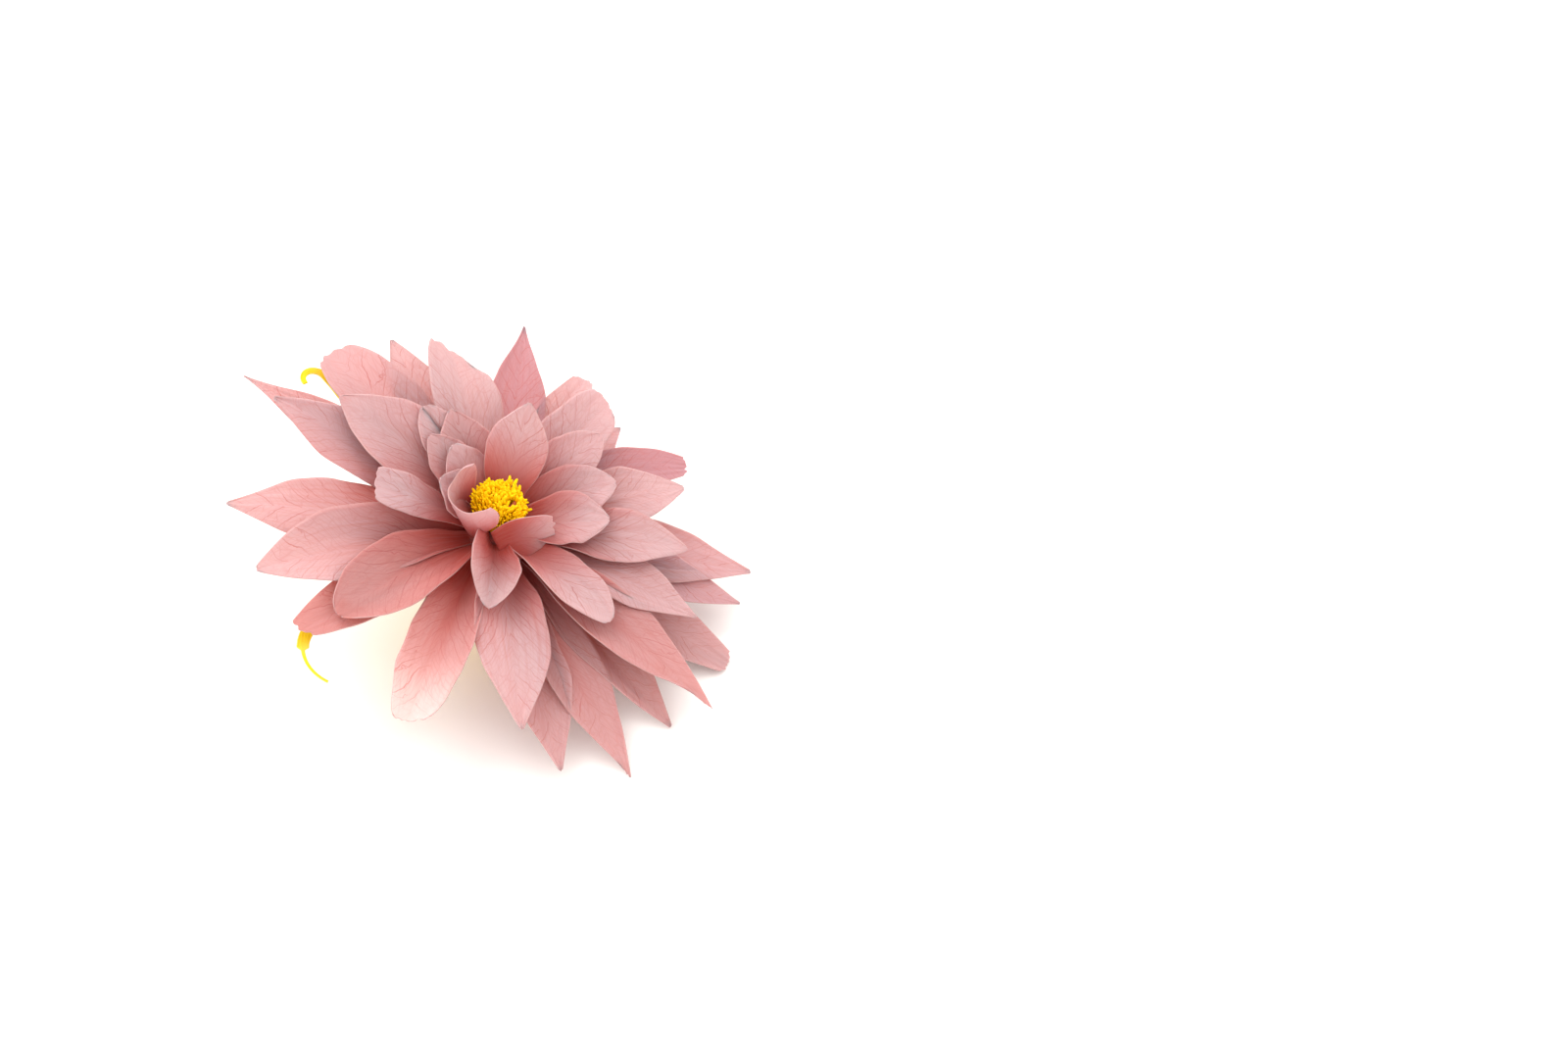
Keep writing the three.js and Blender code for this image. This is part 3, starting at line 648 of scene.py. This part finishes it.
def add_petal(bm, petal, ring_height, random, number):
    """A petal of a ring: the form of its solid, with finer ripples, a nicked tip and an uneven margin."""
    heading, lift = radians(petal.heading), radians(petal.lift)
    droop, sweep = radians(petal.droop), radians(petal.sweep)
    form = LONG_FORM if petal.length > LONG_PETAL else SHORT_FORM
    root = unit_at(0, heading) * PETAL_ROOT_RADIUS
    root.z = ring_height
    size, seed = petal.length, number / 50
    shares = toward_tip(form.rows)
    stations = midrib(root, lambda u: lift - droop * u, lambda u: heading + sweep * u, size, shares)
    waves = 1.2 + 0.8 * random()
    phases = [2 * pi * random(), 2 * pi * random()]
    wave_height = form.wave * (0.6 + 0.4 * random())
    crease = 0.05 + 0.06 * random() + petal.fold
    tip = TIPS[petal.tip]

    def half_width_at(u):
        return petal.width / 2 * petal_width_at(u, PETAL_ROOT_WIDTH, tip)

    def shape_at(u, v):
        half_width = half_width_at(u) * (1 + 0.07 * noise.noise(Vector((u * 7, 3 * (v > 0), number))))
        arch = 12 * (1 - 0.5 * u) + form.channel * (1 - u) ** 2
        side, height = arc_at(half_width, v, radians(arch))
        swell = sin(pi * u ** 0.8)
        ripple = sin(2 * pi * waves * u + phases[v >= 0])
        curl = petal.left if v > 0 else petal.right
        height += (wave_height * ripple * abs(v) ** 1.5 + curl * v * v) * swell
        height += crease * half_width * sqrt(v * v + 0.003)
        flutter = noise.noise(Vector((u * 5 + number, v * 1.3, 1.5)))
        wrinkle = noise.noise(Vector((u * 5, v * 5, number + 0.5)))
        height += (0.5 * flutter * v * v + 0.2 * wrinkle) * sin(pi * min(u * 1.2, 1) / 2)
        near_tip = clamped((u - PETAL_TIP_FROM) / (1 - PETAL_TIP_FROM)) ** 2
        rounding = (0.5 - 0.5 * tip.end) * v * v * near_tip * half_width
        jagged = noise.noise(Vector((v * 3, number, 6))) * (0.2 + tip.end) * near_tip ** 2
        return side, height, rounding + jagged + petal.slant * v * near_tip

    add_blade(bm, stations, form.columns, size, half_width_at, shape_at, petal.tone, petal.pale, seed)


class DAHLIA_OT_petal_rings(bpy.types.Operator):
    """Makes the six rings of petals round the core"""

    bl_idname = "dahlia.petal_rings"
    bl_label = "Petal rings"

    def execute(self, context):
        settings = context.scene.dahlia_petals
        materials = petal_materials(settings)
        random = make_random(SEED)
        number = 1
        for index, ring in enumerate(PETAL_RINGS):
            bm = new_bmesh()
            for petal in ring:
                add_petal(bm, petal, RING_HEIGHTS[index], random, number)
                number += 1
            name = f"petal_ring_{index + 1}"
            finish_piece(bm, name, materials, "petals", settings.thickness)
        return {"FINISHED"}


class DAHLIA_OT_inner_petals(bpy.types.Operator):
    """Makes the two innermost petals, a deep cup and a small trough beside the stamens"""

    bl_idname = "dahlia.inner_petals"
    bl_label = "Inner petals"

    def execute(self, context):
        settings = context.scene.dahlia_petals
        bm = new_bmesh()
        for number, cup in enumerate(INNER_CUPS, FIRST_CUP_NUMBER):
            self.add_cup(bm, cup, number)
        materials = petal_materials(settings)
        finish_piece(bm, "inner_petals", materials, "petals", settings.thickness)
        return {"FINISHED"}

    def add_cup(self, bm, cup, number):
        heading, lift, droop = radians(cup.heading), radians(cup.lift), radians(cup.droop)
        root = unit_at(0, radians(cup.place)) * cup.radius
        root.z = cup.height
        shares = toward_tip(CUP_ROWS)
        stations = midrib(root, lambda u: lift - droop * u, lambda u: heading, cup.length, shares)

        def half_width_at(u):
            return cup.width / 2 * petal_width_at(u, cup.root, cup.form)

        def shape_at(u, v):
            across, up = arc_at(half_width_at(u), v, radians(cup.cup))
            twist = radians(cup.twist) * (ROOT_TWIST + (1 - ROOT_TWIST) * u)
            side = across * cos(twist) - up * sin(twist)
            height = across * sin(twist) + up * cos(twist)
            height += 0.5 * noise.noise(Vector((u * 4, v * 2.2, number))) * u * u
            margin = noise.noise(Vector((v * 3, number, 2)))
            return side, height, (0.7 * margin + cup.slant * v) * u ** 3

        add_blade(bm, stations, CUP_COLUMNS, cup.length, half_width_at, shape_at, 0, 0.2, number / 50)


def add_turned(bm, profile, steps):
    """A solid turned about the flower's axis from pairs of radius and height."""
    verts = [bm.verts.new((radius, 0, height)) for radius, height in profile]
    edges = [bm.edges.new(pair) for pair in zip(verts, verts[1:])]
    line = [*verts, *edges]
    bmesh.ops.spin(bm, geom=line, axis=(0, 0, 1), cent=(0, 0, 0), angle=2 * pi, steps=steps, use_merge=True)
    bmesh.ops.remove_doubles(bm, verts=bm.verts, dist=1e-4)
    bmesh.ops.recalc_face_normals(bm, faces=bm.faces)
    for face in bm.faces:
        face.smooth = True


class DAHLIA_OT_core(bpy.types.Operator):
    """Makes the short core that the petals are glued round"""

    bl_idname = "dahlia.core"
    bl_label = "Petal core"

    def execute(self, context):
        settings = context.scene.dahlia_petals
        bm = new_bmesh()
        add_turned(bm, CORE_PROFILE, CORE_STEPS)
        for vert in bm.verts:
            swell = 1 + 0.05 * noise.noise(vert.co * 0.9)
            vert.co = placed(Vector((vert.co.x * swell, vert.co.y * swell, vert.co.z)))
        material, wire, shader = new_material("petal_core")
        spot = wire.node("TexCoord", output=3)
        cloud = wire.uneven(spot, 700.0, 4.0)
        base = cloud.within(0.35, 0.7).blend(settings.root, tint("#7d3a35"))
        finish_material(wire, shader, base, 0.75 + cloud * 0.1, cloud, 0.3)
        finish_piece(bm, "petal_core", [material], "petals")
        return {"FINISHED"}


class DAHLIA_OT_stamens(bpy.types.Operator):
    """Makes the golden brush of stamens, their seat and the pistils in the small hole"""

    bl_idname = "dahlia.stamens"
    bl_label = "Stamens"

    def execute(self, context):
        settings = context.scene.dahlia_stamens
        random = make_random(SEED + 1)
        bm = new_bmesh(STAMEN_VALUES)
        template = self.template()
        golden = pi * (3 - sqrt(5))
        for index in range(settings.count):
            share = (index + 0.5) / settings.count
            angle = index * golden
            radius = STAMEN_SPREAD * sqrt(share)
            tip = Vector((radius * cos(angle), radius * sin(angle), 0))
            if (tip - Vector((PISTIL_OFFSET, 0, 0))).length < PISTIL_RADIUS:
                continue
            front = share * max(0, -0.9 * sin(angle) - 0.4 * cos(angle))
            tip.z = STAMEN_TOP + STAMEN_UNEVEN * (random() - 0.5)
            tip.z -= STAMEN_DOME * share ** 2 + STAMEN_FRONT_DROP * front
            if random() < TALL_SHARE:
                tip.z += TALL_BY
            tip.x += STAMEN_SCATTER * (random() - 0.5) + STAMEN_SHIFT
            tip.y += STAMEN_SCATTER * (random() - 0.5) + front
            foot = Vector((cos(angle), sin(angle), 0)) * ((SEAT_RADIUS - 0.7) * sqrt(share))
            foot.z = SEAT_TOP - 1.3
            grainy = 1 - 0.9 * min(3 * front, 1)
            thickness = STAMEN_THICKNESS + 0.05 * random()
            self.add_stamen(bm, template, foot, tip, thickness, grainy, random)
        template.free()
        stamens = stamen_material(settings)
        finish_piece(bm, "stamens", [stamens], "stamens")
        self.make_seat(stamens)
        self.make_pistils(settings, random)
        return {"FINISHED"}

    def template(self):
        """A five-sided straight tube one unit high, with the rings that the bends and the anther need."""
        bm = new_bmesh(STAMEN_VALUES)
        bmesh.ops.create_cone(bm, cap_ends=True, segments=5, radius1=1, radius2=1, depth=1)
        bmesh.ops.translate(bm, verts=bm.verts, vec=(0, 0, 0.5))
        for height in STAMEN_RINGS:
            geometry = [*bm.verts, *bm.edges, *bm.faces]
            bmesh.ops.bisect_plane(bm, geom=geometry, plane_co=(0, 0, height), plane_no=(0, 0, 1))
        return bm

    def add_stamen(self, bm, template, foot, tip, thickness, grainy, random):
        """One stamen: the template bent from foot to tip, with a grainy anther that curls at the end."""
        mesh = bpy.data.meshes.new("stamen")
        template.to_mesh(mesh)
        count = len(bm.verts)
        bm.from_mesh(mesh)
        bpy.data.meshes.remove(mesh)
        bm.verts.ensure_lookup_table()
        along = tip - foot
        across = Vector((0, 1, 0)).cross(along).normalized()
        other = along.normalized().cross(across)
        bend = [0.5 * (random() - 0.5), 0.5 * (random() - 0.5)]
        curl_heading = 2 * pi * random()
        curl = (0.25 + 0.5 * random()) * grainy
        tone, seed = random(), random()
        for vert in bm.verts[count:]:
            x, y, h = vert.co
            anther = max(0, 1 - abs(h - ANTHER_MIDDLE) / ANTHER_REACH)
            radius = thickness * (0.8 + 1.15 * grainy * sqrt(anther) - 0.3 * (h > 0.99))
            sway = sin(pi * h)
            tilt = curl * max(h - 0.7, 0) ** 2 / 0.09
            middle = foot + along * h
            middle += across * (bend[0] * sway + tilt * cos(curl_heading))
            middle += other * (bend[1] * sway + tilt * sin(curl_heading))
            knob = 1 + 0.4 * grainy * noise.noise(Vector((x, y, h * 9 + seed * 50)))
            vert.co = placed(middle + (across * x + other * y) * radius * knob)
            vert[bm.verts.layers.float["tone"]] = tone
            vert[bm.verts.layers.float["height"]] = h
        for face in bm.faces:
            face.smooth = True

    def make_seat(self, material):
        """The small dome that the stamens stand on."""
        bm = new_bmesh(STAMEN_VALUES)
        radius = SEAT_RADIUS
        profile = [(0, SEAT_BOTTOM), (radius - 0.5, SEAT_BOTTOM), (radius, SEAT_BOTTOM + 0.9)]
        profile += [(radius, SEAT_TOP - 0.6), (radius - 0.7, SEAT_TOP), (0, SEAT_TOP - 0.4)]
        add_turned(bm, profile, SEAT_STEPS)
        for vert in bm.verts:
            swell = 1 + 0.08 * noise.noise(Vector((vert.co.x * 2.5, vert.co.y * 2.5, vert.co.z * 0.4)))
            vert[bm.verts.layers.float["tone"]] = 0.5
            vert[bm.verts.layers.float["height"]] = 0.25
            vert.co = placed(Vector((vert.co.x * swell, vert.co.y * swell, vert.co.z)))
        finish_piece(bm, "stamen_seat", [material], "stamens")

    def make_pistils(self, settings, random):
        """The short reddish pistils that stand in the hole."""
        bm = new_bmesh(STAMEN_VALUES)
        template = self.template()
        for index in range(PISTIL_COUNT):
            angle = index * PISTIL_TURN
            radius = (PISTIL_RADIUS - 0.45) * sqrt((index + 0.5) / PISTIL_COUNT)
            tip = Vector((PISTIL_OFFSET + radius * cos(angle), radius * sin(angle), SEAT_TOP + 2.6))
            foot = Vector((tip.x * 0.8, tip.y * 0.8, SEAT_TOP - 1))
            tip.x += STAMEN_SHIFT
            tip.z += 0.8 * random()
            self.add_stamen(bm, template, foot, tip, PISTIL_THICKNESS, 1, random)
        template.free()
        material, wire, shader = new_material("pistil")
        height = wire.attribute("height")
        base = height.within(0.5, 0.9).blend(settings.foot, settings.pistil)
        finish_material(wire, shader, base, 0.6 + height * 0.1, height, 0.05)
        finish_piece(bm, "pistils", [material], "stamens")


def stamen_material(settings):
    """Golden stamens: orange at the foot, bright and grainy at the anther."""
    material, wire, shader = new_material("stamen_gold")
    height = wire.attribute("height")
    tone = wire.attribute("tone")
    spot = wire.node("TexCoord", output=3)
    grain = wire.uneven(spot, 2600.0, 3.0)
    base = (height.within(0.15, 0.8) * 0.8 + tone * 0.35).blend(settings.foot, settings.tip)
    base = (grain.within(0.55, 0.75) * 0.35).blend(base, settings.foot)
    finish_material(wire, shader, base, 0.6 + grain * 0.25, grain, 0.12)
    shader.inputs["Specular IOR Level"].default_value = 0.15
    shader.inputs["Subsurface Weight"].default_value = 0.3
    shader.inputs["Subsurface Radius"].default_value = (1.0, 0.7, 0.2)
    shader.inputs["Subsurface Scale"].default_value = 0.4 * MM
    return material


def sepal_width_at(u, sepal):
    """A sepal's width at u: broad near the root, then drawn out into a thin tail."""
    if u < SEPAL_WIDEST:
        return sepal.width * (SEPAL_ROOT_WIDTH + (1 - SEPAL_ROOT_WIDTH) * sin(pi / 2 * u / SEPAL_WIDEST))
    past = clamped((u - SEPAL_WIDEST) / (sepal.body - SEPAL_WIDEST))
    tail = sepal.tail * (1 - TAIL_TAPER * clamped((u - TAIL_TAPERS_FROM) / (1 - TAIL_TAPERS_FROM)))
    end = sepal.stub if u < sepal.torn else tail
    return end + (sepal.width - end) * (0.5 + 0.5 * cos(pi * past))


def calyx_material(settings):
    """Dyed sepals: darker lengthwise fibres, pale patches and torn edges, darker at the root."""
    material, wire, shader = new_material("calyx_yellow")
    across, along, _ = wire.map("size").split()
    place, share, _ = wire.map("share").split()
    seed = wire.attribute("seed")
    drift = wire.uneven(wire.joined(across, along, seed * 20), 0.12) - 0.5
    fibre = wire.uneven(wire.joined(across * 3.2 + drift * 4, along * 0.22, seed * 50), 0.9, 4.0)
    grain = wire.uneven(wire.joined(across, along, seed * 9), 2.4, 4.0)
    cloud = wire.uneven(wire.joined(across, along, seed * 35), 0.14, 2.0)
    base = (fibre.within(0.42, 0.75) * 0.5).blend(settings.body, settings.streak)
    base = (cloud.within(0.5, 0.8) * 0.35).blend(base, settings.edge)
    margin = (abs(place) + (grain - 0.5) * 0.3).within(0.86, 1.0) * share.within(0.05, 0.2)
    base = (margin * 0.55).blend(base, settings.edge)
    base = ((1 - share.within(0.0, 0.16)) * 0.4).blend(base, settings.streak)
    relief = fibre * 0.7 + grain * 0.3
    finish_material(wire, shader, base, 0.6 + grain * 0.25, relief, 0.22)
    shader.inputs["Specular IOR Level"].default_value = 0.3
    return material


class DAHLIA_OT_calyx(bpy.types.Operator):
    """Makes the six sepals with their side lobes, the bowl under the petals and the cut stalk"""

    bl_idname = "dahlia.calyx"
    bl_label = "Calyx"

    def execute(self, context):
        settings = context.scene.dahlia_calyx
        yellow = calyx_material(settings)
        bm = new_bmesh()
        for number, sepal in enumerate(SEPALS):
            self.add_sepal(bm, sepal, number)
        finish_piece(bm, "sepals", [yellow], "calyx", settings.thickness)
        self.make_bowl(yellow)
        self.make_stalk(settings)
        return {"FINISHED"}

    def add_sepal(self, bm, sepal, number):
        heading, lift = radians(sepal.heading), radians(sepal.lift)
        droop, hook = radians(sepal.droop), radians(sepal.hook)
        root = unit_at(0, heading) * SEPAL_ROOT_RADIUS
        root.z = SEPAL_ROOT_HEIGHT

        def heading_at(u):
            return heading + hook * clamped((u - sepal.hook_from) / (1 - sepal.hook_from))

        shares = [sin(pi / 2 * step / SEPAL_ROWS) for step in range(SEPAL_ROWS + 1)]
        stations = midrib(root, lambda u: lift - droop * u, heading_at, sepal.length, shares)

        def half_width_at(u):
            return sepal_width_at(u, sepal) / 2

        def shape_at(u, v):
            ragged = noise.noise(Vector((u * 16, 5 * (v > 0), number + 0.3)))
            ragged += 0.5 * noise.noise(Vector((u * 45, 5 * (v > 0), number + 0.6)))
            half_width = half_width_at(u) * (1 + 0.05 * ragged)
            half_angle = -radians(SEPAL_ARCH * (1 - u) + SEPAL_ROOT_ARCH * (1 - u) ** 3)
            side, height = arc_at(half_width, v, half_angle)
            flutter = noise.noise(Vector((u * 7, v * 1.5, number + 0.8)))
            height += 0.45 * flutter * v * v * (1 - u)
            return side, height, 0

        add_blade(bm, stations, SEPAL_COLUMNS, sepal.length, half_width_at, shape_at, 0, 0, number / 10)
        for leaves_at, side in LOBE_PLACES[:sepal.lobes]:
            self.add_lobe(bm, stations, leaves_at, side, sepal, number)

    def add_lobe(self, bm, stations, leaves_at, side, sepal, number):
        """A thin side shoot that leaves a sepal's edge and points on towards its tip."""
        start = min(stations, key=lambda station: abs(station.share - leaves_at))
        edge = sepal_width_at(start.share, sepal) / 2
        out = start.point + start.across * (side * (edge - 1.2))
        run = start.along
        heading = Vector((run.x, run.y)).angle_signed(Vector((1, 0))) + side * LOBE_ANGLE
        lift = Vector((sqrt(run.x ** 2 + run.y ** 2), run.z)).angle_signed(Vector((1, 0)))
        shares = [step / LOBE_ROWS for step in range(LOBE_ROWS + 1)]
        shoot = midrib(
            out, lambda u: lift - LOBE_DROP, lambda u: heading - side * LOBE_BEND * u, LOBE_LENGTH, shares
        )

        def half_width_at(u):
            return LOBE_WIDTH / 2 * (1 - 0.75 * u)

        def shape_at(u, v):
            return half_width_at(u) * v, 0.1 * noise.noise(Vector((u * 6, number, 4))), 0

        add_blade(bm, shoot, LOBE_COLUMNS, LOBE_LENGTH, half_width_at, shape_at, 0, 0, number / 10)

    def make_bowl(self, material):
        """The hip: a ribbed bowl between the petals and the tube."""
        bm = new_bmesh()
        foot = -BOWL_DEPTH
        profile = [(0, foot), (TUBE_OUTER_RADIUS + 0.1, foot), (BOWL_RADIUS - 1.3, foot + 1.0)]
        profile += [(BOWL_RADIUS - 0.4, foot + 2.6), (BOWL_RADIUS, -1.4), (BOWL_RADIUS - 0.2, 0), (0, 0)]
        add_turned(bm, profile, BOWL_STEPS)
        self.map_turned(bm, 0.3)
        finish_piece(bm, "calyx_bowl", [material], "calyx")

    def make_stalk(self, settings):
        """The cut stalk below the hip, inside the tube."""
        bm = new_bmesh()
        end = -BOWL_DEPTH - STALK_LENGTH
        profile = [(0, end), (STALK_RADIUS - 0.15, end)]
        profile += [(STALK_RADIUS, end + 0.2), (STALK_RADIUS, -BOWL_DEPTH)]
        add_turned(bm, [*profile, (0, -BOWL_DEPTH)], STALK_STEPS)
        self.map_turned(bm, 0.12)
        material, wire, shader = new_material("cut_stalk")
        spot = wire.node("TexCoord", output=3)
        grain = wire.uneven(spot, 1500.0, 4.0)
        base = grain.within(0.3, 0.7).blend(settings.stalk, settings.pith)
        finish_material(wire, shader, base, 0.7 + grain * 0.2, grain, 0.2)
        finish_piece(bm, "cut_stalk", [material], "calyx")

    def map_turned(self, bm, depth):
        """Wrinkles a turned piece lengthwise, maps it round its axis and puts it in place."""
        flat = {vert: vert.co.copy() for vert in bm.verts}
        for vert, at in flat.items():
            around = Vector((at.x, at.y)).normalized() if at.xy.length > 1e-6 else Vector((0, 0))
            fold = noise.noise(Vector((around.x * 5, around.y * 5, at.z * 0.35)))
            out = around * (fold * depth)
            vert.co = placed(Vector((at.x + out.x, at.y + out.y, at.z)))
            vert[bm.verts.layers.float["seed"]] = BOWL_SEED
        for face in bm.faces:
            middle = sum((flat[vert].xy for vert in face.verts), Vector((0, 0)))
            for loop in face.loops:
                at = flat[loop.vert]
                offset = at.xy.angle_signed(middle) if at.xy.length > 1e-6 and middle.length > 1e-6 else 0
                angle = Vector((1, 0)).angle_signed(middle) if middle.length > 1e-6 else 0
                loop[bm.loops.layers.uv["size"]].uv = ((angle - offset) * 5, at.z + 20)
                loop[bm.loops.layers.uv["share"]].uv = BOWL_SHARE


class DAHLIA_OT_tube(bpy.types.Operator):
    """Makes the milky socket tube with its slightly uneven rims"""

    bl_idname = "dahlia.tube"
    bl_label = "Socket tube"

    def execute(self, context):
        settings = context.scene.dahlia_tube
        bm = new_bmesh()
        bottom = TUBE_TOP - TUBE_LENGTH
        inner, outer, soft = TUBE_INNER_RADIUS, TUBE_OUTER_RADIUS, TUBE_EDGE
        straight = TUBE_LENGTH - 2 * soft
        rings = [bottom + soft + straight * step / TUBE_RINGS for step in range(TUBE_RINGS + 1)]
        profile = [(inner + soft, bottom), (outer - soft, bottom), *[(outer, ring) for ring in rings]]
        profile += [(outer - soft, TUBE_TOP), (inner + soft, TUBE_TOP)]
        profile += [(inner, ring) for ring in rings[::-1]]
        add_turned(bm, [*profile, profile[0]], TUBE_STEPS)
        for vert in bm.verts:
            uneven = noise.noise(Vector((vert.co.x * 0.7, vert.co.y * 0.7, vert.co.z * 0.25)))
            wall = 1 - 0.012 * abs(uneven)
            vert.co = placed(Vector((vert.co.x * wall, vert.co.y * wall, vert.co.z)))
        material, wire, shader = new_material("milky_plastic")
        spot = wire.node("TexCoord", output=3)
        cloud = wire.uneven(spot, 300.0, 3.0)
        scratch = wire.uneven(spot, 4000.0, 2.0)
        base = (cloud.within(0.4, 0.8) * 0.5).blend(settings.wall, settings.shade)
        finish_material(wire, shader, base, 0.3 + cloud * 0.2, scratch, 0.02)
        shader.inputs["Subsurface Weight"].default_value = 0.6
        shader.inputs["Subsurface Radius"].default_value = (1.0, 0.9, 0.7)
        shader.inputs["Subsurface Scale"].default_value = 1.2 * MM
        finish_piece(bm, "socket_tube", [material], "stem_tube")
        return {"FINISHED"}


class DAHLIA_OT_stage(bpy.types.Operator):
    """Makes the camera, the pale floor and the soft studio light"""

    bl_idname = "dahlia.stage"
    bl_label = "Stage"

    def execute(self, context):
        settings = context.scene.dahlia_stage
        scene = context.scene
        camera = bpy.data.objects.new("camera", bpy.data.cameras.new("camera"))
        camera.data.lens = settings.focal_length
        camera.data.sensor_width = SENSOR_WIDTH
        camera.location = hub + CAMERA_FROM_HUB
        camera.rotation_euler = (CAMERA_TILT, 0, 0)
        scene.collection.objects.link(camera)
        scene.camera = camera
        scene.view_settings.view_transform = "Standard"

        bm = bmesh.new()
        bmesh.ops.create_grid(bm, x_segments=8, y_segments=8, size=FLOOR_HALF_SIDE)
        mesh = bpy.data.meshes.new("floor")
        bm.to_mesh(mesh)
        bm.free()
        floor = bpy.data.objects.new("floor", mesh)
        scene.collection.objects.link(floor)
        material, wire, shader = new_material("pale_floor")
        cloud = wire.uneven(wire.node("TexCoord", output=3), 3.0)
        base = (cloud * 0.1).blend(settings.floor, (1.0, 1.0, 1.0))
        finish_material(wire, shader, base, 0.8 + cloud * 0.1, cloud, 0.01)
        shader.inputs["Specular IOR Level"].default_value = 0.1
        mesh.materials.append(material)

        key = bpy.data.objects.new("key_light", bpy.data.lights.new("key_light", "SUN"))
        key.data.energy = settings.key
        key.data.angle = KEY_SPREAD
        key.rotation_euler = KEY_TURN
        scene.collection.objects.link(key)
        world = bpy.data.worlds.new("studio")
        world.use_nodes = True
        background = world.node_tree.nodes["Background"]
        background.inputs["Color"].default_value = FILL_COLOUR
        background.inputs["Strength"].default_value = settings.fill
        scene.world = world
        return {"FINISHED"}


class DAHLIA_PT_panel(bpy.types.Panel):
    """Buttons and settings of the flower"""

    bl_label = "Preserved dahlia head"
    bl_idname = "DAHLIA_PT_panel"
    bl_space_type = "VIEW_3D"
    bl_region_type = "UI"
    bl_category = "Dahlia"

    def draw(self, context):
        for operator in OPERATORS:
            self.layout.operator(operator.bl_idname)
        for name, group in SETTINGS.items():
            box = self.layout.box()
            box.label(text=group.__name__)
            for setting in group.__annotations__:
                box.prop(getattr(context.scene, name), setting)


SETTINGS = {
    "dahlia_petals": PetalSettings,
    "dahlia_stamens": StamenSettings,
    "dahlia_calyx": CalyxSettings,
    "dahlia_tube": TubeSettings,
    "dahlia_stage": StageSettings,
}
OPERATORS = [
    DAHLIA_OT_stage,
    DAHLIA_OT_petal_rings,
    DAHLIA_OT_inner_petals,
    DAHLIA_OT_core,
    DAHLIA_OT_stamens,
    DAHLIA_OT_calyx,
    DAHLIA_OT_tube,
]


def register():
    for group in SETTINGS.values():
        bpy.utils.register_class(group)
    for operator in OPERATORS:
        bpy.utils.register_class(operator)
    bpy.utils.register_class(DAHLIA_PT_panel)
    for name, group in SETTINGS.items():
        setattr(bpy.types.Scene, name, PointerProperty(type=group))


def unregister():
    for name in SETTINGS:
        delattr(bpy.types.Scene, name)
    bpy.utils.unregister_class(DAHLIA_PT_panel)
    for operator in reversed(OPERATORS):
        bpy.utils.unregister_class(operator)
    for group in SETTINGS.values():
        bpy.utils.unregister_class(group)


def main():
    register()
    bpy.ops.dahlia.stage()
    bpy.ops.dahlia.petal_rings()
    bpy.ops.dahlia.inner_petals()
    bpy.ops.dahlia.core()
    bpy.ops.dahlia.stamens()
    bpy.ops.dahlia.calyx()
    bpy.ops.dahlia.tube()


if __name__ == "__main__":
    main()
